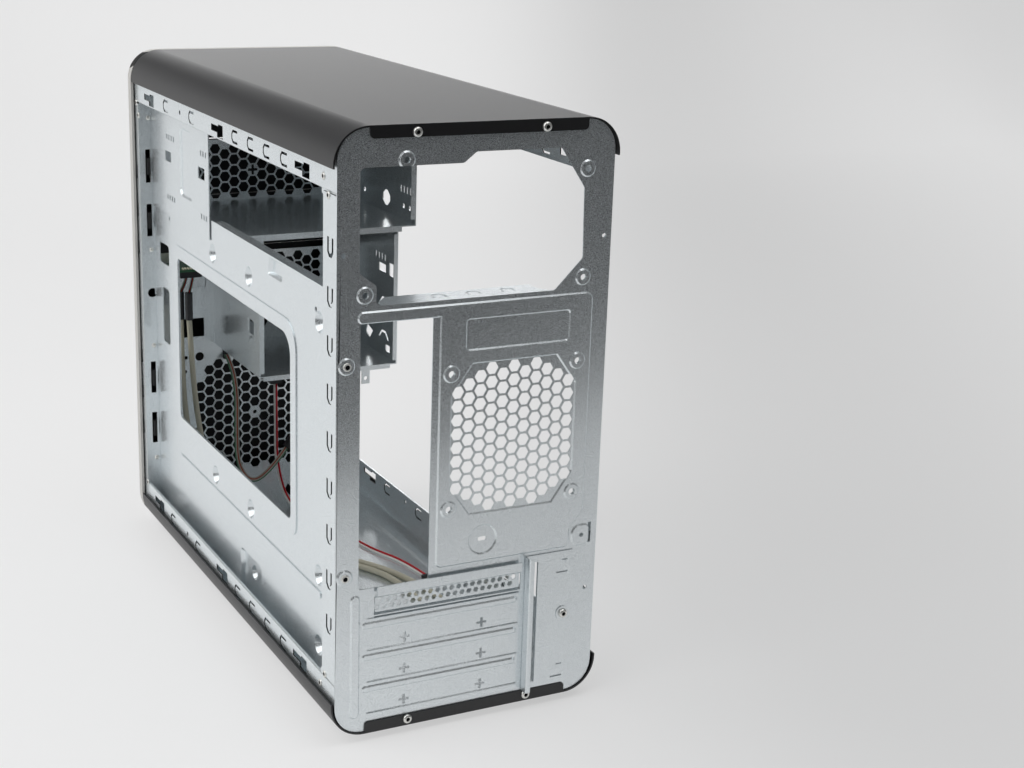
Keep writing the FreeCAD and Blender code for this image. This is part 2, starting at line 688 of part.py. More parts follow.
columns = [size("board_rear") + size("board_column") + step for step in (0, 121.92, 194.31)]
board_rows = [size("board_top") - drop for drop in (0, 157.48, 203.2)]
standoffs = [(d, z) for d in columns for z in board_rows[:2]] + [(d, board_rows[2]) for d in columns[:2]]
bosses = []
dimples = []
rise = size("standoff_height") + 2.7
for d, z in standoffs:
    base = Vector(tray_x - steel, -d, z)
    bosses.append(Part.makeCone(7.2, size("standoff") + steel, rise, base, Vector(-1, 0, 0)))
    dimples.append(Part.makeCone(6.6, size("standoff"), rise, Vector(tray_x, -d, z), Vector(-1, 0, 0)))
    dimples += prisms("YZ_Plane", tray_x - steel - rise - 1, rise + 3, [small_hole(-d, z, 1.6)])


def pocket(face, points, radius, depth, slope):
    """A pocket pressed into an upright sheet: what it adds behind, and what it takes from the face."""
    grown = inset(points, -steel)
    added = sloped("YZ_Plane", face - steel / 2, -depth - steel / 2, grown, radius + steel, slope)
    taken = sloped("YZ_Plane", face, -depth, points, radius, slope)
    return added, taken


pocket_low = pan_floor(tray_x) + 6
board_pockets = [(side([(193, pocket_low), (193, 49), (152, 49), (152, pocket_low)]), 4),
                 (side([(136.5, 250), (134, 261.5), (109, 261.5), (111.5, 250)]), 1)]
for points, radius in board_pockets:
    added, taken = pocket(tray_x, points, radius, 2.4, 2.0)
    bosses.append(added)
    dimples.append(taken)


def joined(label, blank, solids):
    """The blank with pressed forms added to it."""
    formed = doc.addObject("Part::Feature", label + "_forms")
    formed.Shape = solids[0].multiFuse(solids[1:]) if len(solids) > 1 else solids[0]
    fuse = doc.addObject("Part::Fuse", label + "_formed")
    fuse.Base = blank
    fuse.Tool = formed
    return fuse


tools = prisms("YZ_Plane", tray_x - 2 * steel, 4 * steel,
               [rounded(window_points, [4, corner, 4, 4]),
                small_hole(-55.5, 247, 1.7), small_hole(-341.5, 245.8, 1.5), small_hole(-333.5, 99.7, 1.5),
                side_box(345.0, 368.3, 209.5, 224.5, 3), side_box(346.0, 363.0, 150.0, 191.5, 3)])
tools.append(dimples[0].multiFuse(dimples[1:]))
tools += prisms("YZ_Plane", tray_x - 20, 40,
                [side_box(size("bay_rear") - 2, frame_depth + 1,
                          size("bay_floor") - steel, size("tray_top") + 1)])
tools += prisms("YZ_Plane", tray_x + 0.1, 20,
                [side_box(0, 10, 0, bottom_rail_edge + 4)])
tools += prisms("XZ_Plane", frame_depth - 3 * steel, 6 * steel,
                [rectangle(tray_x - 20, tray_x - 2 * steel, 200, 222)])
punched("mainboard_tray", joined("mainboard_tray", tray, bosses), tools)

# Optical drive bay: one channel, its floor between two walls
bay = new_body("optical_bay_body")
wall_left = size("bay_left") + steel
bay_top_right = pan_ceiling(tray_x + steel) - seat
bay_top_left = pan_ceiling(-size("bay_left")) - seat
bay_path = [(tray_x, bay_top_right), (tray_x, size("bay_floor")),
            (wall_left, size("bay_floor")), (wall_left, bay_top_left)]
pad(bay, "bay_section", "XZ_Plane", "Sizes.bay_rear", "Sizes.frame_depth - Sizes.bay_rear",
    [ribbon(bay_path, [0, 0], steel)])
pad(bay, "bay_rear_folds", "XZ_Plane", "Sizes.bay_rear", "Sizes.steel",
    [rectangle(wall_left - steel / 2, wall_left + 3.2, size("bay_floor") + 4, bay_top_left)])
pad(bay, "bay_floor_lip", "XZ_Plane", "Sizes.bay_rear", "Sizes.steel",
    [rectangle(wall_left + 10, tray_x - 10, size("bay_floor") - 4.2, size("bay_floor") - steel / 2)])
far_holes = []
near_holes = []
slit_step, slit_width = 5.33, 2.2
for level in range(2):
    z = size("bay_floor") + level * bay_pitch
    far_slits = [255.7 + slit_step * k for k in range(4)]
    near_slits = [324 + slit_step * k for k in range(4)] + [252.4 + slit_step * k for k in range(3)]
    far_holes += [side_box(d, d + slit_width, z + 19.8, z + 24.6) for d in far_slits]
    near_holes += [side_box(d, d + slit_width, z + 10.4, z + 14.2) for d in near_slits]
    far_holes += [small_hole(-x, z + 10.1, 1.8) for x in (257.2, 267.9, 339.0)]
    far_holes.append(polygon(side([(292, z + 9), (292, z + 13), (296.7, z + 16.6), (300.7, z + 16.6),
                                   (305.5, z + 13), (305.5, z + 9), (300.7, z + 5.4), (296.7, z + 5.4)])))
near_holes += [side_box(332, 345.5, 287.6, 294.8), side_box(256.5, 270.5, 287.4, 295.4)]
stiffener = side([(312, 268), (312, 316), (283, 316), (283, 268)])
added, taken = pocket(tray_x + steel, stiffener, 6, 1.2, 1.4)
tools = prisms("YZ_Plane", -90, 90, far_holes) + prisms("YZ_Plane", 0, 90, near_holes) + [taken]
punched("optical_bay", joined("optical_bay", bay, [added]), tools)

# Hard drive cage: a channel hung below the bay floor, lipped at its open rear end
cage = new_body("drive_cage_body")
cage_top = size("bay_floor") - steel
cage_left = size("bay_left") + steel
cage_right = size("cage_right") - steel
cage_floor = size("cage_bottom") + steel
cage_path = [(cage_right, cage_top), (cage_right, cage_floor), (cage_left, cage_floor), (cage_left, cage_top)]
pad(cage, "cage_section", "XZ_Plane", "Sizes.cage_rear", "Sizes.frame_depth - Sizes.cage_rear",
    [ribbon(cage_path, [0, 0], steel)])
pad(cage, "cage_rear_fold", "XZ_Plane", "Sizes.cage_rear", "Sizes.steel",
    [rectangle(size("cage_right") - steel / 2 - size("cage_fold"), size("cage_right") - steel / 2,
               size("cage_bottom") + 3, cage_top)])
pad(cage, "cage_left_fold", "XZ_Plane", "Sizes.cage_rear", "Sizes.steel",
    [rectangle(cage_left - steel / 2, cage_left + 2.4, size("cage_bottom") + 3, cage_top - 12)])
pad(cage, "cage_floor_lip", "XZ_Plane", "Sizes.cage_rear", "Sizes.steel",
    [polygon([(-69.5, size("cage_bottom") + steel / 2), (-69.5, size("cage_bottom") - 2.7),
              (-53.3, size("cage_bottom") - 2.7), (-53.3, size("cage_bottom") - 12.7),
              (-47.1, size("cage_bottom") - 12.7), (-47.1, size("cage_bottom") - 2.7),
              (29, size("cage_bottom") - 2.7), (29, size("cage_bottom") + steel / 2)])])
pad(cage, "cage_front_fold", "XZ_Plane", frame_depth - steel, "Sizes.steel",
    [rectangle(size("cage_right") - steel / 2, size("cage_right") + 6, size("cage_bottom") + 3, cage_top)])
cage_cuts = [side_box(298.6 + 5.5 * k, 300.6 + 5.5 * k, 213, 217.5) for k in range(4)]
cage_cuts += [side_box(281, 292, 203.5, 213), side_box(298, 311, 204, 210), side_box(289, 297, 144.5, 149.5)]
cage_cuts += [u_cut(-300.5, 185, 18, 6.5, 1.6, 2), u_cut(-300.5, 159.3, 18, 6.5, 1.6, 2)]
cage_cuts += [polygon(side([(321, 154), (327, 147), (334.5, 150), (331, 157)]))]
tools = prisms("YZ_Plane", size("bay_left") - 2, 6, cage_cuts)
wall_cuts = [side_box(289.8, 301.5, 168, 178), hexagon(-344.7, 176, 6.4), side_box(284.5, 286.1, 168, 176),
             side_box(284.5, 286.1, 148, 154), u_cut(-295, 166, 12, 7, 1.2, 2)]
tools += prisms("YZ_Plane", size("cage_right") - 3, 6, wall_cuts)
tools += prisms("XZ_Plane", size("cage_rear") - 2, 5, [small_hole(-50.2, size("cage_bottom") - 8.5, 1.6)])
punched("drive_cage", cage, tools)

# Covers: painted sheets bent round the top and the bottom of the case


def cover(label, path, flange_low_z, flange_high_z):
    body = new_body(label + "_body")
    start = "-Sizes.cover_sheet"
    pad(body, label + "_skin", "XZ_Plane", start, "Sizes.cover_depth + Sizes.cover_sheet",
        [ribbon(path, [size("corner_radius")] * 2, size("cover_sheet"))])
    flange_half = size("cover_flange_width") / 2
    radii = [2.5, 2.5, 0, 0] if flange_high_z > size("case_height") / 2 else [0, 0, 2.5, 2.5]
    pad(body, label + "_flange", "XZ_Plane", start, "Sizes.cover_sheet",
        [rounded([(-flange_half, flange_low_z), (flange_half, flange_low_z),
                  (flange_half, flange_high_z), (-flange_half, flange_high_z)], radii)])
    holes = [circle(x, z, size("screw_shank") + screw_play) for x, z in cover_screw_places
             if flange_low_z < z < flange_high_z]
    return punched(label, body, prisms("XZ_Plane", -4, 6, holes))


cover_low, cover_high = size("cover_drop"), size("case_height") - size("cover_drop")
half_sheet = size("cover_sheet") / 2
cover("top_cover", [(case_half, cover_high), (case_half, size("case_height")),
                    (-case_half, size("case_height")), (-case_half, cover_high)],
      pan_top - size("cover_flange_height"), pan_top + half_sheet)
cover("bottom_cover", [(-case_half, cover_low), (-case_half, 0), (case_half, 0), (case_half, cover_low)],
      pan_bottom - half_sheet, pan_bottom + size("cover_flange_height"))

from_shape("cover_screws", Part.makeCompound([screw(x, z, -size("cover_sheet"))
                                              for x, z in cover_screw_places]))

# Bezel: a moulded shell over the front, its rim in line with the covers
bezel_rear = size("cover_depth") + size("bezel_gap")
bezel_front = bezel_rear + size("bezel_depth")
wall = size("bezel_wall")
gap = size("running_gap")
front_face = frame_depth + steel


def dome(label, inset, depth, rounding):
    """A block with rounded corners whose front edges are rounded over."""
    body = new_body(label)
    outline = rectangle(inset - case_half, case_half - inset, inset, size("case_height") - inset,
                        size("corner_radius") - inset)
    block = pad(body, label + "_block", "XZ_Plane", bezel_rear, depth, [outline])
    doc.recompute()
    front_edges = ["Edge%d" % (i + 1) for i, edge in enumerate(block.Shape.Edges)
                   if max(abs(edge.BoundBox.YMin + bezel_rear + depth), edge.BoundBox.YLength) < 1e-4]
    fillet = body.newObject("PartDesign::Fillet", label + "_rounding")
    fillet.Base = (block, front_edges)
    fillet.Radius = rounding
    return body


bezel_outer = dome("bezel_outer", 0, size("bezel_depth"), size("bezel_rounding"))
bezel_inner = dome("bezel_inner", wall, size("bezel_depth") - wall, size("bezel_rounding") - wall)
shell = doc.addObject("Part::Cut", "bezel_shell")
shell.Base = bezel_outer
shell.Tool = bezel_inner
clip_reach = 2.5
posts = []
for z0, z1 in clip_z:
    middle = (z0 + z1) / 2
    for sign in (1, -1):
        x = sign * clip_x
        plan = polygon([(x - 1.1, clip_reach - frame_depth), (x + 1.1, clip_reach - frame_depth),
                        (x + 1.1, -front_face), (x + 2.8, -front_face), (x + 2.8, wall - 0.3 - bezel_front),
                        (x - 2.8, wall - 0.3 - bezel_front), (x - 2.8, -front_face), (x - 1.1, -front_face)])
        posts += prisms("XY_Plane", middle - 6, 12, [plan])
door_half = 72.5
door_gap = 0.5
door_top = size("case_height") - size("corner_radius") - 6
doors = [(size("bay_floor") + door_gap, size("bay_floor") + bay_pitch - door_gap),
         (size("bay_floor") + bay_pitch + door_gap, door_top)]
small_x0, small_x1 = size("bay_left") + 2.8, size("cage_right") - 2.8
small_z0, small_z1 = bay_low + 0.4, bay_high - 0.4
button_x, button_z = size("button_x"), size("button_z")
button_half_w, button_half_h = size("button_width") / 2, size("button_height") / 2
light_x = button_x + button_half_w + 10
light_radius = 1.5
board_x0, board_x1, board_z, board_rear_edge = 42.0, 73.0, 202.4, 354.0
board_top = board_z + size("board_thick")
socket_columns = (53.0, 66.5)
usb_half, usb_height = 5.5, 7.3
jack_z = board_top + usb_height + 3.6
jack_radius = 3.2
bezel_openings = [rectangle(-door_half - gap, door_half + gap, doors[0][0] - gap, doors[1][1] + gap),
                  rectangle(small_x0 - gap, small_x1 + gap, small_z0 - gap, small_z1 + gap),
                  rectangle(button_x - button_half_w - gap, button_x + button_half_w + gap,
                            button_z - button_half_h - gap, button_z + button_half_h + gap, 3)]
for x in socket_columns:
    bezel_openings.append(rectangle(x - usb_half - gap, x + usb_half + gap, board_top - gap,
                                    board_top + usb_height + gap))
    bezel_openings.append(circle(x, jack_z, jack_radius + gap))
bezel_openings.append(circle(light_x, button_z, light_radius + gap))
bezel_tools = prisms("XZ_Plane", bezel_front - 2 * wall, 4 * wall, bezel_openings)
punched("front_bezel", joined("front_bezel", shell, posts), bezel_tools)

# Drive bay covers: shallow moulded trays that fill the bezel's openings
face_thick = 2.4


def bay_cover(label, x0, x1, z0, z1):
    body = new_body(label)
    pad(body, label + "_face", "XZ_Plane", bezel_front - face_thick, face_thick, [rectangle(x0, x1, z0, z1)])
    legs = [rectangle(x0 + 1, x0 + 3, z0 + 4, z1 - 4), rectangle(x1 - 3, x1 - 1, z0 + 4, z1 - 4)]
    pad(body, label + "_legs", "XZ_Plane", front_face, bezel_front - front_face - 1, legs)
    return finished(body)


bay_cover("lower_bay_cover", -door_half, door_half, *doors[0])
bay_cover("upper_bay_cover", -door_half, door_half, *doors[1])
bay_cover("small_bay_cover", small_x0, small_x1, small_z0, small_z1)

# Power button, its switch behind the bezel and the light beside it
button_proud = 0.6
cap_thick = 5.6
switch_front = bezel_front - 9.5
stem_sunk = 2.0
switch_half = 6.0
stem_half = 2.0
button = new_body("power_button")
pad(button, "button_cap", "XZ_Plane", bezel_front + button_proud - cap_thick, cap_thick,
    [rectangle(button_x - button_half_w, button_x + button_half_w,
               button_z - button_half_h, button_z + button_half_h, 3 - gap)])
pad(button, "button_stem", "XZ_Plane", switch_front - stem_sunk,
    bezel_front + button_proud - cap_thick - switch_front + stem_sunk + 1,
    [rectangle(button_x - stem_half, button_x + stem_half, button_z - stem_half, button_z + stem_half)])
finished(button)
switch = new_body("power_switch_body")
pad(switch, "switch_case", "XZ_Plane", front_face, switch_front - front_face,
    [rectangle(button_x - switch_half, button_x + switch_half,
               button_z - switch_half, button_z + switch_half)])
stem_hole = rectangle(button_x - stem_half - gap, button_x + stem_half + gap,
                      button_z - stem_half - gap, button_z + stem_half + gap)
well_depth = stem_sunk + size("button_travel") + 1
punched("power_switch", switch, prisms("XZ_Plane", switch_front - well_depth, well_depth + 1, [stem_hole]))
light = new_body("power_light")
pad(light, "light_body", "XZ_Plane", front_face, bezel_front + 0.4 - front_face,
    [circle(light_x, button_z, light_radius)])
finished(light)

# Front sockets on a small circuit board held by a plate across its opening
bracket = new_body("socket_plate_body")
pad(bracket, "socket_sheet", "XZ_Plane", front_face, "Sizes.steel",
    [rectangle(socket_x0 - 3, socket_x1 + 2, socket_z0 - 3, socket_z1 + 3)])
punched("socket_plate", bracket,
        prisms("XZ_Plane", front_face - 1, 4 * steel,
               [rectangle(board_x0 - gap, board_x1 + gap, board_z, board_top + 16)]))
board = new_body("port_board")
pad(board, "board_sheet", "XY_Plane", board_z, "Sizes.board_thick",
    [rectangle(board_x0, board_x1, 3 - bezel_front, -board_rear_edge)])
finished(board)
socket_rear = front_face + 2.2
for number, x in enumerate(socket_columns, start=1):
    usb = new_body("usb_socket_%d_body" % number)
    pad(usb, "usb_shell_%d" % number, "XZ_Plane", socket_rear, bezel_front - socket_rear,
        [rectangle(x - usb_half, x + usb_half, board_top, board_top + usb_height)])
    punched("usb_socket_%d" % number, usb,
            prisms("XZ_Plane", socket_rear + 6, bezel_front - socket_rear,
                   [rectangle(x - usb_half + 0.6, x + usb_half - 0.6, board_top + 0.6, board_top + 3.4),
                    rectangle(x - usb_half + 0.6, x + usb_half - 0.6, board_top + 5.2, board_top + 6.7)]))
    jack = new_body("audio_socket_%d_body" % number)
    jack_front = bezel_front - wall - 0.5
    pad(jack, "jack_block_%d" % number, "XZ_Plane", socket_rear, jack_front - socket_rear,
        [rectangle(x - 4.5, x + 4.5, board_top + usb_height, board_top + usb_height + 7)])
    pad(jack, "jack_collar_%d" % number, "XZ_Plane", jack_front - 1, bezel_front - jack_front + 1,
        [circle(x, jack_z, jack_radius)])
    punched("audio_socket_%d" % number, jack,
            prisms("XZ_Plane", bezel_front - 9, 10, [circle(x, jack_z, 1.8)]))
plug_z = board_z - 5.4
plug = new_body("socket_plug")
pad(plug, "plug_block", "XY_Plane", plug_z, board_z - plug_z, [rectangle(48, 64, -366, -358)])
finished(plug)

# Feet
foot_places = {"rear_left_foot": (1, size("foot_inset_y")), "rear_right_foot": (-1, size("foot_inset_y")),
               "front_left_foot": (1, size("cover_depth") - size("foot_inset_y")),
               "front_right_foot": (-1, size("cover_depth") - size("foot_inset_y"))}
for name, (sign, depth) in foot_places.items():
    foot = new_body(name)
    pad(foot, name + "_disc", "XY_Plane", "-Sizes.foot_height", "Sizes.foot_height",
        [circle(sign * (case_half - size("foot_inset_x")), -depth, size("foot_radius"))])
    finished(foot)

# Leads: cords laid as straight runs joined by arcs, and what they end in
cord_sides = 10


def corner_radius(before, corner, after):
    """Bend radius at a corner: as wide as the shorter run next to it allows."""
    half = (corner - before).getAngle(after - corner) / 2
    return 0.45 * min(before.distanceToPoint(corner), corner.distanceToPoint(after)) / math.tan(half)


def cord(label, points, radius):
    """A round cord through points given as (x, depth, height)."""
    path = [Vector(x, -depth, z) for x, depth, z in points]
    ends = [path[0]]
    edges = []
    radii = []
    for before, point, after in zip(path, path[1:], path[2:]):
        bend = corner_radius(before, point, after)
        radii.append(bend)
        back = (before - point).normalize()
        ahead = (after - point).normalize()
        half = back.getAngle(ahead) / 2
        reach = bend / math.tan(half)
        middle = point + (back + ahead).normalize() * (bend / math.sin(half) - bend)
        edges.append(Part.LineSegment(ends[-1], point + back * reach).toShape())
        edges.append(Part.Arc(point + back * reach, middle, point + ahead * reach).toShape())
        ends.append(point + ahead * reach)
    edges.append(Part.LineSegment(ends[-1], path[-1]).toShape())
    spine = Part.Wire(edges)
    outward = (path[1] - path[0]).cross(Vector(0, 1, 0)).normalize()
    corners = [path[0] + Rotation(path[1] - path[0], 360 / cord_sides * i).multVec(outward * radius)
               for i in range(cord_sides)]
    tube = spine.makePipeShell([Part.makePolygon(corners + corners[:1])], True, False)
    section = cord_sides / 2 * radius ** 2 * math.sin(2 * math.pi / cord_sides)
    length = spine.Length
    print("%s: %.0f mm long, bends %s, volume %.3f of section times length"
          % (label, length, ", ".join("%.0f" % r for r in radii),
             tube.Volume / (section * length)))
    return from_shape(label, tube)


def end_block(label, points, thick, length, side_way):
    """A square connector body that carries on in line from a cord's last point."""
    last = Vector(points[-1][0], -points[-1][1], points[-1][2])
    previous = Vector(points[-2][0], -points[-2][1], points[-2][2])
    along = (last - previous).normalize()
    across = side_way.cross(along).normalize()
    width = along.cross(across).normalize()
    corners = [last + across * a + width * b for a, b in
               ((-thick[0], -thick[1]), (thick[0], -thick[1]), (thick[0], thick[1]), (-thick[0], thick[1]))]
    face = Part.Face(Part.makePolygon(corners + corners[:1]))
    return from_shape(label, face.extrude(along * length))


floor = pan_bottom + steel
cable = size("cable_radius")
rest = floor + cable + 0.1
sleeve_low = 167.0
sleeve_top = sleeve_low + size("sleeve_length")
usb_points = [(60.2, 352, sleeve_low), (58.6, 352, 128), (55.4, 350, 86), (49, 341, 44), (36, 322, rest),
              (6, 279, rest), (-28, 240, rest), (-50, 196, rest), (-56, 150, rest)]
audio_points = [(65.4, 356, sleeve_low), (65.6, 355, 127), (64, 351, 86), (58.5, 341, 45), (43.6, 320, rest),
                (11.5, 274.2, rest), (-23, 235.4, rest), (-42, 194, rest), (-40, 150, rest)]
for label, points, wire_x in (("usb", usb_points, 54.0), ("audio", audio_points, 59.0)):
    x, depth, z = points[0]
    sleeve = new_body(label + "_sleeve")
    pad(sleeve, label + "_sleeve_tube", "XY_Plane", sleeve_low, "Sizes.sleeve_length",
        [circle(x, -depth, size("sleeve_radius"))])
    finished(sleeve)
    cord(label + "_wires", [(wire_x, 362, plug_z), (wire_x + 0.8, 361, plug_z - 4.5), (x, depth, sleeve_top)],
         size("lead_radius"))
    cord(label + "_cable", points, cable)
    end_block(label + "_plug", points, (cable + 2.9, cable), 14, Vector(0, 0, 1))

lead = size("lead_radius")
clip = new_body("lead_clip_body")
clip_points = (-12.6, 109.2)
pad(clip, "clip_block", "XZ_Plane", frame_depth - 16, "16 mm",
    [rectangle(clip_points[0] - 4, clip_points[0] + 5, clip_points[1] - 3, clip_points[1] + 3)])
finished(clip)
clip.Label = "lead_clip"
lead_rest = floor + lead + 0.1
switch_points = [(-12.6, 368, 106.2), (-12.2, 366, 74), (-12, 365.5, 40), (-17, 353, 9),
                 (-33, 324, lead_rest), (-41, 290, lead_rest), (-47, 256, lead_rest),
                 (-60, 226, lead_rest), (-63, 196, lead_rest)]
cord("switch_lead", switch_points, lead)
end_block("switch_lead_plug", switch_points, (lead + 1.8, lead), 13, Vector(0, 0, 1))
ribbon_entry = new_body("ribbon_grommet")
pad(ribbon_entry, "grommet_block", "XZ_Plane", frame_depth - 3, 3 + 2 * steel,
    [rectangle(22.4, 25.1, 126.3, 133.5)])
finished(ribbon_entry)
ribbon_points = [(23.7, 377, 130), (23.4, 364, 124), (22.4, 357, 104), (24.4, 353, 76), (24.6, 351, 48),
                 (13, 350, 32), (-4, 350, 44), (-15, 351, 58)]
cord("ribbon_lead", ribbon_points, lead)
end_block("ribbon_plug", ribbon_points, (lead + 1.5, lead + 1.5), 15, Vector(0, 1, 0))

# Closing: place every piece, make sure that it is sound, and write it out
doc.recompute()
reach = [piece.Shape.optimalBoundingBox(False, False) for piece in pieces]
middle_y = (min(box.YMin for box in reach) + max(box.YMax for box in reach)) / 2
for piece in pieces:
    piece.Placement = Placement(Vector(0, -middle_y, size("foot_height")), Rotation())
doc.recompute()
faults = []
for piece in pieces:
    state = " ".join(piece.State)
    if "Invalid" in state or "Error" in state or piece.Shape.isNull() or not piece.Shape.isValid():
        faults.append(piece.Label)
if faults:
    raise RuntimeError("not sound: " + ", ".join(faults))
os.makedirs("parts", exist_ok=True)
for piece in pieces:
    piece.Shape.exportStep("parts/%s.step" % piece.Label)
print("%d pieces, rear face at y = %.3f" % (len(pieces), -middle_y))
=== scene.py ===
import bmesh
import bpy
import math
from mathutils import Matrix, Vector


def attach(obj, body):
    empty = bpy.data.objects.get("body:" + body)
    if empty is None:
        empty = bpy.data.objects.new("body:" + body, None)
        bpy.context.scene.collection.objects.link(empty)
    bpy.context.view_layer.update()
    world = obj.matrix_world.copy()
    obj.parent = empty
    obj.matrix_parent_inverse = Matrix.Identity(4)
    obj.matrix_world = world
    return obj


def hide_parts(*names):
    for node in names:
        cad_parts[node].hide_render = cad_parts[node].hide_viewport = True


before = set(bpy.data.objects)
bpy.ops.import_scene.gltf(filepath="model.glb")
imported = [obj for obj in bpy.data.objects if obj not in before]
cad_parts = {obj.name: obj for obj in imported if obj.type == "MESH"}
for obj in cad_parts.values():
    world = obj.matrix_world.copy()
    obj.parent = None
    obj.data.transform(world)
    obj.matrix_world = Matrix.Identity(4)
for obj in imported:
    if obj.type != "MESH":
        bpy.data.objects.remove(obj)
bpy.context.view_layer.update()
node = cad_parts
rear_y = 0.1983
foot = 0.005


# Camera: stands behind the case on its tray side, a little higher than its top, and
# looks down at it a little, as the photograph does.
camera = bpy.data.objects.new("camera", bpy.data.cameras.new("camera"))
bpy.context.collection.objects.link(camera)
camera.data.sensor_width = 36
camera.data.lens = 60.92
camera.data.clip_start = 0.05
look = Vector((-0.45236, -0.84516, -0.28475)).normalized()
across = Vector((-0.88582, 0.46281, 0.03358)).normalized()
upward = across.cross(look).normalized()
across = look.cross(upward).normalized()
turn = Matrix((across, upward, -look)).transposed()
camera_place = Vector((0.4335, rear_y + 0.8547, foot + 0.4944))
camera.matrix_world = Matrix.Translation(camera_place) @ turn.to_4x4()
bpy.context.scene.camera = camera
bpy.context.scene.view_settings.view_transform = "Standard"


# Socket cables: two round jackets of cream PVC, satin and slightly uneven in tint. They
# leave the black sleeves, drop to the floor of the case and run along it towards the rear
# to their plugs.
def linear(code):
    """A colour written as sRGB hex, as the shader wants it."""
    parts = [int(code[i:i + 2], 16) / 255 for i in (0, 2, 4)]
    return tuple(c / 12.92 if c < 0.04045 else ((c + 0.055) / 1.055) ** 2.4 for c in parts) + (1.0,)


def shader(name):
    """A new material with its bare shader: (material, node tree, shader node)."""
    material = bpy.data.materials.new(name)
    material.use_nodes = True
    tree = material.node_tree
    return material, tree, tree.nodes["Principled BSDF"]


def add(tree, kind, settings=None, links=None):
    """One shader node with its settings, input values and incoming links."""
    made = tree.nodes.new(kind)
    for key, value in (settings or {}).items():
        setattr(made, key, value)
    for socket, value in (links or {}).items():
        if isinstance(value, bpy.types.NodeSocket):
            tree.links.new(value, made.inputs[socket])
        else:
            made.inputs[socket].default_value = value
    return made


def behind(x, depth, z):
    """A place given in millimetres from the rear face and the cover's underside."""
    return (x / 1000, rear_y - depth / 1000, foot + z / 1000)


def route(name, points, radius, material):
    """A cord on one smooth spline through its route's points."""
    curve = bpy.data.curves.new(name, "CURVE")
    curve.dimensions = "3D"
    spline = curve.splines.new("NURBS")
    spline.points.add(len(points) - 1)
    for point, place in zip(spline.points, points):
        point.co = (*behind(*place), 1)
    spline.order_u = 3
    spline.use_endpoint_u = True
    spline.resolution_u = 12
    curve.bevel_depth = radius
    curve.bevel_resolution = 4
    curve.use_fill_caps = True
    curve.materials.append(material)
    cord = bpy.data.objects.new(name, curve)
    bpy.context.collection.objects.link(cord)
    return cord


jacket, tree, skin = shader("moulded_pvc_jacket")
place = add(tree, "ShaderNodeTexCoord")
cloud = add(tree, "ShaderNodeTexNoise", {},
            {"Vector": place.outputs["Object"], "Scale": 60.0, "Detail": 3.0})
tone = add(tree, "ShaderNodeMix", {"data_type": "RGBA"},
           {"Factor": cloud.outputs["Fac"], "A": linear("CFCAB6"), "B": linear("BEB9A5")})
tree.links.new(tone.outputs["Result"], skin.inputs["Base Color"])
skin.inputs["Roughness"].default_value = 0.42
floor_rest = 4.0
jacket_radius = 0.0021
cable_routes = {
    "usb_cable": [(60.2, 352, 167), (58.6, 352, 128), (55.4, 350, 86), (49, 341, 44),
                  (36, 322, floor_rest), (6, 279, floor_rest), (-28, 240, floor_rest),
                  (-50, 196, floor_rest), (-56, 150, floor_rest)],
    "audio_cable": [(65.4, 356, 167), (65.6, 355, 127), (64, 351, 86), (58.5, 341, 45),
                    (43.6, 320, floor_rest), (11.5, 274.2, floor_rest), (-23, 235.4, floor_rest),
                    (-42, 194, floor_rest), (-40, 150, floor_rest)]}
for name, points in cable_routes.items():
    cord = route(name + "_jacket", points, jacket_radius, jacket)
    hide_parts(name)
    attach(cord, "case")


# Switch lead: a red and a white insulated wire side by side, from the clip on the front
# panel down to the floor of the case and along it to a small plug.
def wire_skin(name, code, handled):
    """Glossy PVC insulation in one colour, with a second, handled tone in soft patches."""
    material, tree, skin = shader(name)
    place = add(tree, "ShaderNodeTexCoord")
    patch = add(tree, "ShaderNodeTexNoise", {},
                {"Vector": place.outputs["Object"], "Scale": 250.0, "Detail": 2.0})
    tone = add(tree, "ShaderNodeMix", {"data_type": "RGBA"},
               {"Factor": patch.outputs["Fac"], "A": linear(code), "B": linear(handled)})
    tree.links.new(tone.outputs["Result"], skin.inputs["Base Color"])
    gloss = add(tree, "ShaderNodeMapRange", {},
                {"Value": patch.outputs["Fac"], "From Min": 0.3, "From Max": 0.7,
                 "To Min": 0.26, "To Max": 0.38})
    tree.links.new(gloss.outputs["Result"], skin.inputs["Roughness"])
    return material


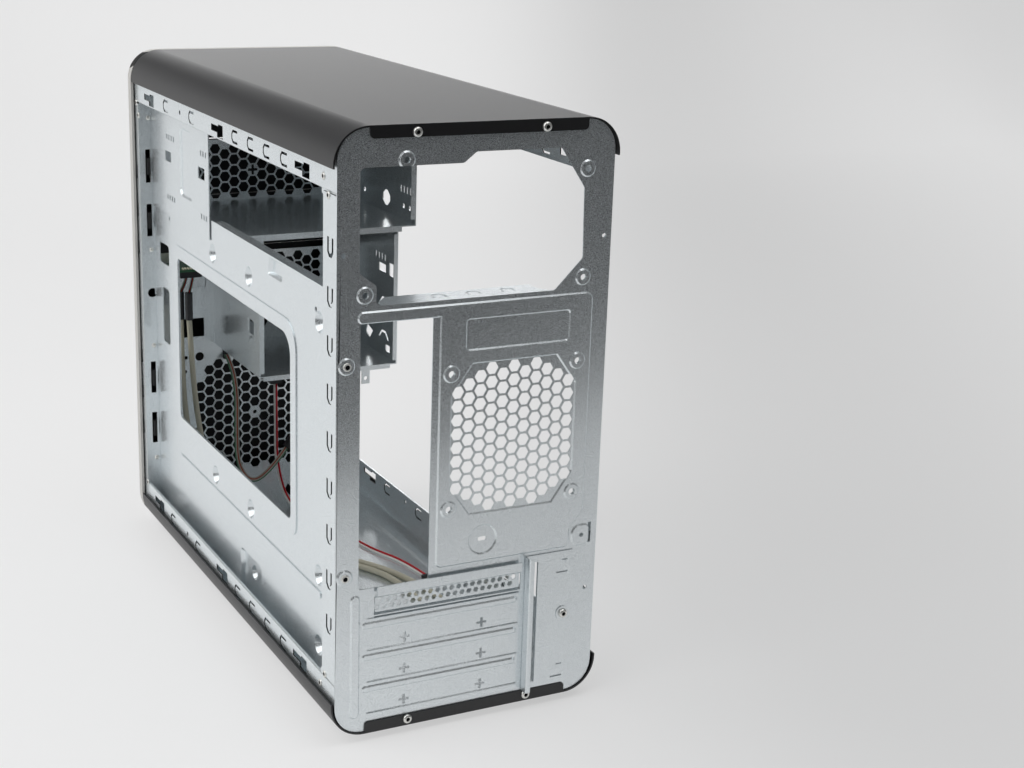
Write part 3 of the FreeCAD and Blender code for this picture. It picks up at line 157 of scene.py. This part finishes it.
def strands(name, points, offsets, radius, materials, side_way):
    """Wires side by side along one route, as one mesh, together with the points they follow."""
    guide = route(name + "_guide", points, 0, materials[0])
    evaluated = guide.evaluated_get(bpy.context.evaluated_depsgraph_get())
    guide_mesh = bpy.data.meshes.new_from_object(evaluated)
    line = [v.co.copy() for v in guide_mesh.vertices]
    bpy.data.meshes.remove(guide_mesh)
    bpy.data.objects.remove(guide)
    mesh = bmesh.new()
    for number, offset in enumerate(offsets):
        rings = []
        across = Vector(side_way)
        for i, point in enumerate(line):
            ahead = (line[min(i + 1, len(line) - 1)] - line[max(i - 1, 0)]).normalized()
            across = (across - ahead * across.dot(ahead)).normalized()
            centre = point + across * offset
            ring = bmesh.ops.create_circle(mesh, segments=10, radius=radius)["verts"]
            stand = Matrix((across, ahead.cross(across), ahead)).transposed()
            for vertex in ring:
                vertex.co = centre + stand @ vertex.co
            rings.append(ring)
        edges = []
        for ring in rings:
            chosen = set(ring)
            edges += [e for e in mesh.edges if e.verts[0] in chosen and e.verts[1] in chosen]
        before = set(mesh.faces)
        bmesh.ops.bridge_loops(mesh, edges=edges)
        for end in (rings[0], rings[-1]):
            bmesh.ops.contextual_create(mesh, geom=end)
        for face in mesh.faces:
            if face not in before:
                face.material_index = number
                face.smooth = len(face.verts) == 4
    bmesh.ops.recalc_face_normals(mesh, faces=mesh.faces)
    data = bpy.data.meshes.new(name)
    mesh.to_mesh(data)
    mesh.free()
    for material in materials:
        data.materials.append(material)
    made = bpy.data.objects.new(name, data)
    bpy.context.collection.objects.link(made)
    return made, line


red_wire = wire_skin("red_pvc_wire", "C8202C", "BC1E2A")
white_wire = wire_skin("white_pvc_wire", "F0EFEC", "E6E4DF")
lead_rest = 3.1
picture_left = (0.886, -0.463, 0)
switch_wire_radius = 0.0008
switch_points = [(-12.6, 368, 106.2), (-12.2, 366, 74), (-12, 365.5, 40), (-17, 353, 9),
                 (-33, 324, lead_rest), (-41, 290, lead_rest), (-47, 256, lead_rest),
                 (-60, 226, lead_rest), (-63, 196, lead_rest)]
switch, switch_line = strands("switch_lead_wires", switch_points,
                              (switch_wire_radius, -switch_wire_radius), switch_wire_radius,
                              (white_wire, red_wire), picture_left)
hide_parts("switch_lead")
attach(switch, "case")

# Ribbon lead: four thin wires laid flat, from its grommet in the front panel down
# and up again to a plug that hangs free.
grey_wire = wire_skin("grey_pvc_wire", "B5B2A8", "ABA89E")
orange_wire = wire_skin("orange_pvc_wire", "B0573B", "A65137")
green_wire = wire_skin("green_pvc_wire", "4E7F5C", "497857")
ribbon_wire_radius = 0.0005
ribbon_offsets = (-0.00144, -0.00048, 0.00048, 0.00144)
ribbon_points = [(23.7, 377, 130), (23.4, 364, 124), (22.4, 357, 104), (24.4, 353, 76),
                 (24.6, 351, 48), (13, 350, 32), (-4, 350, 44), (-15, 351, 58)]
ribbon, ribbon_line = strands("ribbon_lead_wires", ribbon_points, ribbon_offsets,
                              ribbon_wire_radius, (grey_wire, orange_wire, grey_wire, green_wire),
                              (1, 0, 0))
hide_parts("ribbon_lead")
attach(ribbon, "case")

# Socket wires: where a jacket ends in its sleeve, four thin insulated wires fan out
# and run up into the plug under the port board.
black_wire = wire_skin("black_pvc_wire", "1C1C1E", "232325")
thin_wire_radius = 0.00036
fan_offsets = (-0.00105, -0.00035, 0.00035, 0.00105)
wire_runs = {
    "usb_wires": ([(54.0, 362, 197.0), (54.8, 361, 192.5), (60.2, 352, 187.2)],
                  (green_wire, red_wire, black_wire, white_wire)),
    "audio_wires": ([(59.0, 362, 197.0), (59.8, 361, 192.5), (65.4, 356, 187.2)],
                    (black_wire, red_wire, green_wire, grey_wire))}
for name, (points, skins) in wire_runs.items():
    bundle, _ = strands(name + "_fan", points, fan_offsets, thin_wire_radius, skins, (1, 0.4, 0))
    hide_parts(name)
    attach(bundle, "case")


# Floor and backdrop: one seamless sheet of pale matt paper, laid under the case and
# curved up behind it. Seen directly or in a reflection, a share of it is painted light: a
# glow with a painted fall-off, darkest to the right of the case, and painted shade high up
# on the curve. The rest takes the light and the case's shadow.
sweep = bmesh.new()
backdrop_far = -2.6
backdrop_near = 3.4
backdrop_side = 4
backdrop_top = 4
bend_steps = 8
bend_start = backdrop_far + 1.0
profile = [Vector((-backdrop_side, backdrop_near, 0)), Vector((-backdrop_side, bend_start, 0))]
for step in range(1, bend_steps + 1):
    angle = math.radians(90 * step / bend_steps)
    profile.append(Vector((-backdrop_side, bend_start - math.sin(angle), 1 - math.cos(angle))))
profile.append(Vector((-backdrop_side, backdrop_far, backdrop_top)))
row = [sweep.verts.new(p) for p in profile]
edges = [sweep.edges.new(pair) for pair in zip(row, row[1:])]
extruded = bmesh.ops.extrude_edge_only(sweep, edges=edges)
bmesh.ops.translate(sweep, vec=(2 * backdrop_side, 0, 0),
                    verts=[v for v in extruded["geom"] if isinstance(v, bmesh.types.BMVert)])
bmesh.ops.recalc_face_normals(sweep, faces=sweep.faces)
sheet = bpy.data.meshes.new("backdrop")
sweep.to_mesh(sheet)
sweep.free()
sheet.shade_smooth()
backdrop = bpy.data.objects.new("backdrop", sheet)
bpy.context.collection.objects.link(backdrop)
paper, tree, skin = shader("backdrop_paper")
skin.inputs["Base Color"].default_value = linear("E8E8E8")
skin.inputs["Roughness"].default_value = 0.9
skin.inputs["Specular IOR Level"].default_value = 0.1
place = add(tree, "ShaderNodeTexCoord")
# Painted fall-off: the glow's tone stands in for light, darkest to the right of the case.
along = add(tree, "ShaderNodeVectorMath", {"operation": "DOT_PRODUCT"},
            {0: place.outputs["Object"], 1: (-0.886, 0.463, 0.0)})
span = add(tree, "ShaderNodeMapRange", {},
           {"Value": along.outputs["Value"], "From Min": -0.8, "From Max": 1.2})
painted_falloff = add(tree, "ShaderNodeValToRGB", {}, {"Fac": span.outputs["Result"]})
painted_falloff.color_ramp.interpolation = "B_SPLINE"
stops = painted_falloff.color_ramp.elements
stops[0].color = (0.94, 0.94, 0.94, 1)
stops[1].color = (0.9, 0.9, 0.9, 1)
for position, level in ((0.33, 0.97), (0.45, 0.92), (0.57, 0.62), (0.72, 0.72), (0.9, 0.92)):
    stops.new(position).color = (level, level, level, 1)
# Painted shade: the glow dims high up on the curve.
height = add(tree, "ShaderNodeSeparateXYZ", {}, {"Vector": place.outputs["Object"]})
shade = add(tree, "ShaderNodeMapRange", {},
            {"Value": height.outputs["Z"], "From Min": 0.72, "From Max": 1.0,
             "To Min": 1.0, "To Max": 0.25})
glow = add(tree, "ShaderNodeEmission", {},
           {"Color": painted_falloff.outputs["Color"], "Strength": shade.outputs["Result"]})
# Camera and reflection rays see the painted glow at its share.
rays = add(tree, "ShaderNodeLightPath")
seen = add(tree, "ShaderNodeMath", {"operation": "ADD"},
           {0: rays.outputs["Is Camera Ray"], 1: rays.outputs["Is Glossy Ray"]})
seen = add(tree, "ShaderNodeMath", {"operation": "ADD", "use_clamp": True},
           {0: seen.outputs["Value"], 1: rays.outputs["Is Transmission Ray"]})
painted_glow_share = 0.6
share = add(tree, "ShaderNodeMath", {"operation": "MULTIPLY"},
            {0: seen.outputs["Value"], 1: painted_glow_share})
blend = add(tree, "ShaderNodeMixShader", {},
            {0: share.outputs["Value"], 1: skin.outputs["BSDF"], 2: glow.outputs["Emission"]})
tree.links.new(blend.outputs["Shader"], tree.nodes["Material Output"].inputs["Surface"])
sheet.materials.append(paper)

# Painted shade on the camera's side of the case: two dark sheets laid on the paper, one
# with its edge at a slant, stand in for shade there. The upper part of the steel's rear face
# mirrors them as a painted dark reflection.
dark = bmesh.new()
dark_sheet_corner = Vector((-0.12, 0.615, 0.0012))
dark_sheet_half_length, dark_sheet_half_width = 1.6, 1.3
for slant, side, lift in ((0.0, 1, 0.0), (math.pi - 0.45, -1, 0.0006)):
    corners = bmesh.ops.create_grid(dark, x_segments=1, y_segments=1, size=1)["verts"]
    bmesh.ops.scale(dark, vec=(dark_sheet_half_length, dark_sheet_half_width, 1), verts=corners)
    bmesh.ops.translate(dark, vec=(dark_sheet_half_length, side * dark_sheet_half_width, 0), verts=corners)
    bmesh.ops.rotate(dark, matrix=Matrix.Rotation(slant, 3, "Z"), verts=corners)
    bmesh.ops.translate(dark, vec=dark_sheet_corner + Vector((0, 0, lift)), verts=corners)
dark_sheet_mesh = bpy.data.meshes.new("dark_floor")
dark.to_mesh(dark_sheet_mesh)
dark.free()
dark_sheets = bpy.data.objects.new("dark_floor", dark_sheet_mesh)
bpy.context.collection.objects.link(dark_sheets)
# Painted shade: a dark matt colour for the sheets that stand in for shade.
shade_sheet, tree, skin = shader("painted_shade_sheet")
skin.inputs["Base Color"].default_value = linear("3A3A3C")
skin.inputs["Roughness"].default_value = 1.0
dark_sheet_mesh.materials.append(shade_sheet)

# Light: a wide soft box high on the left of the picture, one above, and one low behind
# the case that glosses its lid. The room is pale, and darker on the camera's side.
world = bpy.data.worlds.new("studio")
world.use_nodes = True
bpy.context.scene.world = world
tree = world.node_tree
tree.nodes["Background"].inputs["Color"].default_value = linear("D8DADC")
place = add(tree, "ShaderNodeTexCoord")
split = add(tree, "ShaderNodeSeparateXYZ", {}, {"Vector": place.outputs["Generated"]})
dim = add(tree, "ShaderNodeMapRange", {},
          {"Value": split.outputs["Y"], "From Min": 0.0, "From Max": 0.45,
           "To Min": 0.6, "To Max": 0.1})
tree.links.new(dim.outputs["Result"], tree.nodes["Background"].inputs["Strength"])


def soft_box(name, place_at, aim_at, width, height, power):
    """A flat lamp that lights the object and stays out of the picture."""
    lamp = bpy.data.lights.new(name, "AREA")
    lamp.shape = "RECTANGLE"
    lamp.size = width
    lamp.size_y = height
    lamp.energy = power
    box = bpy.data.objects.new(name, lamp)
    aim = (Vector(aim_at) - Vector(place_at)).to_track_quat("-Z", "Y")
    box.matrix_world = Matrix.Translation(Vector(place_at)) @ aim.to_matrix().to_4x4()
    box.visible_camera = False
    bpy.context.collection.objects.link(box)


soft_box("left_box", (2.1, 0.0, 1.9), (0, 0, 0.2), 3.4, 3.2, 52)
soft_box("top_box", (-0.5, 0.6, 2.3), (0, 0, 0.2), 1.8, 1.4, 13)
soft_box("back_box", (-1.15, -2.3, 0.64), (-1.15, 0, 0.5), 2.0, 0.5, 8)

# Steel frame: 0.8 mm galvanised sheet, punched, pressed and folded. The zinc has faint
# specks of about 0.8 mm and a slight upright grain from the rolls; bright and dull
# crystals of 0.2 mm lie mixed, so that it mirrors softly inside a wide dull sheen.
zinc, tree, skin = shader("galvanised_sheet")
place = add(tree, "ShaderNodeTexCoord")
stretch = add(tree, "ShaderNodeMapping", {},
              {"Vector": place.outputs["Object"], "Scale": (1.0, 1.0, 0.25)})
grain = add(tree, "ShaderNodeTexNoise", {},
            {"Vector": stretch.outputs["Vector"], "Scale": 800.0, "Detail": 2.0})
askew = add(tree, "ShaderNodeMapping", {},
            {"Vector": place.outputs["Object"], "Rotation": (0.7, 0.5, 0.3)})
speck = add(tree, "ShaderNodeTexNoise", {},
            {"Vector": askew.outputs["Vector"], "Scale": 1300.0, "Detail": 2.0})
both = add(tree, "ShaderNodeMix", {"data_type": "FLOAT"},
           {"Factor": 0.75, "A": grain.outputs["Fac"], "B": speck.outputs["Fac"]})
ramp = add(tree, "ShaderNodeValToRGB", {}, {"Fac": both.outputs["Result"]})
ramp.color_ramp.elements[0].position = 0.3
ramp.color_ramp.elements[0].color = linear("DFE5E8")
ramp.color_ramp.elements[1].position = 0.7
ramp.color_ramp.elements[1].color = linear("EEF3F5")
tree.links.new(ramp.outputs["Color"], skin.inputs["Base Color"])
skin.inputs["Metallic"].default_value = 0.93
crystal = add(tree, "ShaderNodeTexNoise", {},
              {"Vector": askew.outputs["Vector"], "Scale": 4500.0, "Detail": 0.0})
rough = add(tree, "ShaderNodeMapRange", {},
            {"Value": crystal.outputs["Fac"], "From Min": 0.48, "From Max": 0.64,
             "To Min": 0.21, "To Max": 0.62})
tree.links.new(rough.outputs["Result"], skin.inputs["Roughness"])
bump = add(tree, "ShaderNodeBump", {},
           {"Height": both.outputs["Result"], "Strength": 0.02, "Distance": 0.0001})
tree.links.new(bump.outputs["Normal"], skin.inputs["Normal"])


def dress(names, material):
    """Gives CAD nodes one material."""
    for name in names:
        node[name].data.materials.clear()
        node[name].data.materials.append(material)


dress(["rear_panel", "vented_slot_cover", "card_retainer", "lower_pan", "upper_pan", "front_panel",
       "mainboard_tray", "optical_bay", "drive_cage", "socket_plate"], zinc)

# Sheared edges: where tongues, hooks and slots are punched through the side flanges the
# bare cut is dull, and its thin walls are painted dark: painted shade for the shadow they
# stay in.
cut_wall_shade, tree, skin = shader("cut_wall_painted_shade")
place = add(tree, "ShaderNodeTexCoord")
cut_mottle = add(tree, "ShaderNodeTexNoise", {},
           {"Vector": place.outputs["Object"], "Scale": 900.0, "Detail": 2.0})
tone = add(tree, "ShaderNodeMix", {"data_type": "RGBA"},
           {"Factor": cut_mottle.outputs["Fac"], "A": linear("2E3032"), "B": linear("3E4143")})
tree.links.new(tone.outputs["Result"], skin.inputs["Base Color"])
skin.inputs["Metallic"].default_value = 1.0
skin.inputs["Roughness"].default_value = 0.6
flange_x = 0.0842
largest_cut = 1.2e-5
end_margin = 0.0015
# Painted shade goes on the small walls of the cuts in the side flanges.
for name in ("rear_panel", "lower_pan", "upper_pan", "front_panel"):
    data = node[name].data
    data.materials.append(cut_wall_shade)
    low = min(v.co.y for v in data.vertices) + end_margin
    high = max(v.co.y for v in data.vertices) - end_margin
    for face in data.polygons:
        on_flange = abs(face.center.x) > flange_x and low < face.center.y < high
        if on_flange and abs(face.normal.x) < 0.2 and face.area < largest_cut:
            face.material_index = 1


# Rivets and studs: bright zinc plated steel, pressed into the sheets; their bores are painted
# shade, a near-black steel colour. Flat rivets join the pans to the panels, low nubs hold the
# front panel's edge, and most board seats have a stud whose bored end shows from behind.
def turned(mesh, profile, centre, axis, steps=14, socket=0.0):
    """Adds one lathe-turned part: pairs of (radius, height) in millimetres spun about an axis.
    Faces within the socket radius that lie below the top get the second material, painted shade for
    a bore or recess."""
    known = set(mesh.verts)
    line = [mesh.verts.new((radius / 1000, 0, height / 1000)) for radius, height in profile]
    edges = [mesh.edges.new(pair) for pair in zip(line, line[1:])]
    bmesh.ops.spin(mesh, geom=line + edges, cent=(0, 0, 0), axis=(0, 0, 1), dvec=(0, 0, 0),
                   angle=2 * math.pi, steps=steps, use_merge=True, use_duplicate=False)
    fresh = [v for v in mesh.verts if v not in known]
    bmesh.ops.remove_doubles(mesh, verts=fresh, dist=1e-6)
    fresh = [v for v in mesh.verts if v not in known]
    faces = [f for f in mesh.faces if f.verts[0] not in known]
    bmesh.ops.recalc_face_normals(mesh, faces=faces)
    top = max(height for _, height in profile) / 1000
    for face in faces:
        middle = face.calc_center_median()
        face.material_index = int(middle.xy.length < socket / 1000 and middle.z < top - 0.0002)
        face.smooth = True
    stand = Vector(axis).to_track_quat("Z", "Y").to_matrix().to_4x4()
    bmesh.ops.transform(mesh, matrix=Matrix.Translation(Vector(centre)) @ stand, verts=fresh)


def settle(name, mesh, materials):
    """Makes the mesh a piece that stays with the case."""
    data = bpy.data.meshes.new(name)
    mesh.to_mesh(data)
    mesh.free()
    for material in materials:
        data.materials.append(material)
    piece = bpy.data.objects.new(name, data)
    bpy.context.collection.objects.link(piece)
    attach(piece, "case")
    return piece


bright, tree, skin = shader("zinc_plated_steel")
place = add(tree, "ShaderNodeTexCoord")
wear = add(tree, "ShaderNodeTexNoise", {},
           {"Vector": place.outputs["Object"], "Scale": 900.0, "Detail": 2.0})
tone = add(tree, "ShaderNodeMix", {"data_type": "RGBA"},
           {"Factor": wear.outputs["Fac"], "A": linear("D8D8D4"), "B": linear("F4F3EE")})
tree.links.new(tone.outputs["Result"], skin.inputs["Base Color"])
skin.inputs["Metallic"].default_value = 1.0
skin.inputs["Roughness"].default_value = 0.3
# Painted shade: a near-black steel colour for bores and recesses, standing in for the shade inside
# them.
bore_shade, tree, skin = shader("unlit_bore_steel")
place = add(tree, "ShaderNodeTexCoord")
bore_mottle = add(tree, "ShaderNodeTexNoise", {},
           {"Vector": place.outputs["Object"], "Scale": 1500.0, "Detail": 2.0})
tone = add(tree, "ShaderNodeMix", {"data_type": "RGBA"},
           {"Factor": bore_mottle.outputs["Fac"], "A": linear("262627"), "B": linear("2E2E2F")})
tree.links.new(tone.outputs["Result"], skin.inputs["Base Color"])
skin.inputs["Metallic"].default_value = 1.0
skin.inputs["Roughness"].default_value = 0.5
flat_rivet = [(0, -0.3), (2.3, -0.3), (2.3, 0.3), (1.9, 0.6), (1.1, 0.6), (0.9, 0.15), (0, 0.15)]
nub = [(0, -0.3), (1.7, -0.3), (1.7, 0.5), (1.2, 1.0), (0, 1.1)]
stud = [(0, -0.3), (2.9, -0.3), (2.8, 0.1), (2.1, 0.6), (1.2, 0.7), (1.0, 0.1), (0, 0.1)]
seat_rivet = [(0, -0.6), (2.5, -0.6), (2.5, 0.5), (2.0, 0.9), (1.4, 0.9), (1.2, -0.2), (0, -0.2)]
flange_face, panel_edge, tray_face = 86.3, 79.2, 70.8
fixings = bmesh.new()
for side in (1, -1):
    for depth, z in ((19.3, 331.1), (12.1, 321.8), (15.5, 35.3), (22.4, 26.6),
                     (384.8, 323.5), (379.3, 315.1), (381.2, 33.5)):
        turned(fixings, flat_rivet, behind(side * flange_face, depth, z), (side, 0, 0), socket=1.0)
for z in (312.7, 215.3, 142.0, 53.0):
    turned(fixings, nub, behind(panel_edge, 380, z), (0, 1, 0))
for depth, z in ((171.9, 240.5), (244.3, 240.5), (171.9, 83.0), (244.3, 83.0), (171.9, 37.3)):
    turned(fixings, stud, behind(tray_face, depth, z), (1, 0, 0), socket=1.1)
for x, z in ((80.1, 227.5), (80.6, 101.2)):
    turned(fixings, seat_rivet, behind(x, -0.8, z), (0, 1, 0), socket=1.3)
rivets = settle("frame_rivets_and_studs", fixings, (bright, bore_shade))

# Covers: 1 mm steel sheets bent round the case, with a near black powder coat. It is
# satin, finely textured, and takes a broad pale sheen where light grazes it.
coat, tree, skin = shader("near_black_powder_coat")
place = add(tree, "ShaderNodeTexCoord")
grit = add(tree, "ShaderNodeTexNoise", {},
           {"Vector": place.outputs["Object"], "Scale": 1500.0, "Detail": 2.0})
tone = add(tree, "ShaderNodeMix", {"data_type": "RGBA"},
           {"Factor": grit.outputs["Fac"], "A": linear("161618"), "B": linear("212123")})
tree.links.new(tone.outputs["Result"], skin.inputs["Base Color"])
skin.inputs["Roughness"].default_value = 0.42
skin.inputs["Specular IOR Level"].default_value = 0.6
bump = add(tree, "ShaderNodeBump", {},
           {"Height": grit.outputs["Fac"], "Strength": 0.12, "Distance": 0.0001})
tree.links.new(bump.outputs["Normal"], skin.inputs["Normal"])
dress(["top_cover", "bottom_cover"], coat)

# Cover and retainer screws: pan heads of bright zinc plated steel with a deep recess,
# driven in from the rear. The recess is painted shade, in the bores' near-black colour.
pan_head = [(0, -0.4), (2.9, -0.4), (2.9, 0.8), (2.6, 1.4), (2.0, 1.9), (1.5, 2.0),
            (1.25, 1.8), (1.1, 0.6), (0, 0.5)]
heads = bmesh.new()
for x, z in ((40, 4.4), (-40, 4.4), (40, 356.3), (-40, 356.3)):
    turned(heads, pan_head, behind(x, -1.0, z), (0, 1, 0), steps=18, socket=1.3)
cover_heads = settle("cover_screw_heads", heads, (bright, bore_shade))
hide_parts("cover_screws")
heads = bmesh.new()
turned(heads, pan_head, behind(-64.1, -1.4, 54.8), (0, 1, 0), steps=18, socket=1.3)
retainer_head = settle("retainer_screw_head", heads, (bright, bore_shade))
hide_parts("retainer_screw")

# Bezel and bay covers: moulded ABS. The outside and the rim are pale grey with a fine
# spark-eroded grain; the inside, which the vents look into, is black.
shell, tree, skin = shader("pale_moulded_abs")
place = add(tree, "ShaderNodeTexCoord")
grit = add(tree, "ShaderNodeTexNoise", {},
           {"Vector": place.outputs["Object"], "Scale": 1400.0, "Detail": 2.0})
tone = add(tree, "ShaderNodeMix", {"data_type": "RGBA"},
           {"Factor": grit.outputs["Fac"], "A": linear("C5C3BE"), "B": linear("D0CEC9")})
tree.links.new(tone.outputs["Result"], skin.inputs["Base Color"])
skin.inputs["Roughness"].default_value = 0.42
bump = add(tree, "ShaderNodeBump", {},
           {"Height": grit.outputs["Fac"], "Strength": 0.1, "Distance": 0.0001})
tree.links.new(bump.outputs["Normal"], skin.inputs["Normal"])
inner, tree, skin = shader("black_moulded_abs")
place = add(tree, "ShaderNodeTexCoord")
grit = add(tree, "ShaderNodeTexNoise", {},
           {"Vector": place.outputs["Object"], "Scale": 900.0, "Detail": 2.0})
tone = add(tree, "ShaderNodeMix", {"data_type": "RGBA"},
           {"Factor": grit.outputs["Fac"], "A": linear("0B0B0C"), "B": linear("131314")})
tree.links.new(tone.outputs["Result"], skin.inputs["Base Color"])
skin.inputs["Roughness"].default_value = 0.6
front_y = rear_y - 0.403
middle_z = foot + 0.18035
inside_half_width, inside_half_height = 0.0871, 0.1784
bezel_parts = ["front_bezel", "lower_bay_cover", "upper_bay_cover", "small_bay_cover"]
dress(bezel_parts, shell)
for name in bezel_parts:
    data = node[name].data
    data.materials.append(inner)
    for face in data.polygons:
        behind_front = face.center.y - front_y
        x, z = face.center.x, face.center.z - middle_z
        if name == "front_bezel":
            enclosed = abs(x) < inside_half_width and abs(z) < inside_half_height
            inward = face.normal.x * x + face.normal.z * z < -1e-6 and abs(face.normal.y) < 0.9
            within = (enclosed and behind_front > 0.0017) or (inward and behind_front > 0.002)
        else:
            within = behind_front > 0.0026 or face.normal.y > 0.5
        face.material_index = int(within)

# Power button and light: the button is moulded with the bezel's finish, and the light
# beside it is the end of a clear, green-tinted acrylic rod.
lens, tree, skin = shader("tinted_acrylic")
place = add(tree, "ShaderNodeTexCoord")
cloud = add(tree, "ShaderNodeTexNoise", {}, {"Vector": place.outputs["Object"], "Scale": 500.0})
tone = add(tree, "ShaderNodeMix", {"data_type": "RGBA"},
           {"Factor": cloud.outputs["Fac"], "A": linear("B9CFC0"), "B": linear("CFE0D4")})
tree.links.new(tone.outputs["Result"], skin.inputs["Base Color"])
skin.inputs["Roughness"].default_value = 0.15
skin.inputs["Transmission Weight"].default_value = 0.5
skin.inputs["IOR"].default_value = 1.49
dress(["power_button"], shell)
dress(["power_light"], lens)

# Port board: glass-fibre board with green solder mask, two rows of tinned pins along its
# inner edge, and plated steel shells on its two data sockets.
green, tree, skin = shader("green_solder_mask")
place = add(tree, "ShaderNodeTexCoord")
weave = add(tree, "ShaderNodeTexNoise", {},
            {"Vector": place.outputs["Object"], "Scale": 700.0, "Detail": 3.0})
tone = add(tree, "ShaderNodeMix", {"data_type": "RGBA"},
           {"Factor": weave.outputs["Fac"], "A": linear("1B5230"), "B": linear("2A6B42")})
tree.links.new(tone.outputs["Result"], skin.inputs["Base Color"])
skin.inputs["Roughness"].default_value = 0.28
dress(["port_board"], green)
dress(["usb_socket_1", "usb_socket_2"], bright)
tin, tree, skin = shader("solder_tin")
place = add(tree, "ShaderNodeTexCoord")
cloud = add(tree, "ShaderNodeTexNoise", {}, {"Vector": place.outputs["Object"], "Scale": 1200.0})
tone = add(tree, "ShaderNodeMix", {"data_type": "RGBA"},
           {"Factor": cloud.outputs["Fac"], "A": linear("D9D2B4"), "B": linear("F1EDDA")})
tree.links.new(tone.outputs["Result"], skin.inputs["Base Color"])
skin.inputs["Metallic"].default_value = 1.0
skin.inputs["Roughness"].default_value = 0.3
pin = [(0, -0.2), (0.75, -0.2), (0.6, 0.3), (0.3, 0.9), (0.25, 1.3), (0, 1.35)]
pin_pitch = 2.0
pins = bmesh.new()
for column in range(8):
    for depth in (356.2, 358.7):
        turned(pins, pin, behind(48.6 + pin_pitch * column, depth, 204.0), (0, 0, 1), steps=8)
pin_rows = settle("board_pins", pins, (tin,))

# Black fittings: moulded nylon plugs, clip, grommet, switch and audio sockets, and the
# polyolefin sleeves shrunk over the cable ends, which are a little shinier.
nylon, tree, skin = shader("black_moulded_nylon")
place = add(tree, "ShaderNodeTexCoord")
grit = add(tree, "ShaderNodeTexNoise", {},
           {"Vector": place.outputs["Object"], "Scale": 1100.0, "Detail": 2.0})
tone = add(tree, "ShaderNodeMix", {"data_type": "RGBA"},
           {"Factor": grit.outputs["Fac"], "A": linear("141416"), "B": linear("202023")})
tree.links.new(tone.outputs["Result"], skin.inputs["Base Color"])
skin.inputs["Roughness"].default_value = 0.48
dress(["power_switch", "audio_socket_1", "audio_socket_2", "socket_plug", "usb_plug", "audio_plug",
       "lead_clip", "switch_lead_plug", "ribbon_grommet", "ribbon_plug"], nylon)
shrink, tree, skin = shader("shrunk_polyolefin_sleeve")
place = add(tree, "ShaderNodeTexCoord")
ripple = add(tree, "ShaderNodeTexNoise", {},
             {"Vector": place.outputs["Object"], "Scale": 350.0, "Detail": 2.0})
tone = add(tree, "ShaderNodeMix", {"data_type": "RGBA"},
           {"Factor": ripple.outputs["Fac"], "A": linear("1B1B1E"), "B": linear("2B2B2F")})
tree.links.new(tone.outputs["Result"], skin.inputs["Base Color"])
skin.inputs["Roughness"].default_value = 0.35
bump = add(tree, "ShaderNodeBump", {},
           {"Height": ripple.outputs["Fac"], "Strength": 0.2, "Distance": 0.0004})
tree.links.new(bump.outputs["Normal"], skin.inputs["Normal"])
dress(["usb_sleeve", "audio_sleeve"], shrink)

# Feet: four discs of black rubber, 18 mm across and 5 mm high, stuck under the lower
# cover. They are matt, with a little pale dust.
rubber, tree, skin = shader("moulded_rubber")
place = add(tree, "ShaderNodeTexCoord")
dust = add(tree, "ShaderNodeTexNoise", {},
           {"Vector": place.outputs["Object"], "Scale": 300.0, "Detail": 4.0})
tone = add(tree, "ShaderNodeMix", {"data_type": "RGBA"},
           {"Factor": dust.outputs["Fac"], "A": linear("161616"), "B": linear("282827")})
tree.links.new(tone.outputs["Result"], skin.inputs["Base Color"])
skin.inputs["Roughness"].default_value = 0.8
dress(["rear_left_foot", "rear_right_foot", "front_left_foot", "front_right_foot"], rubber)
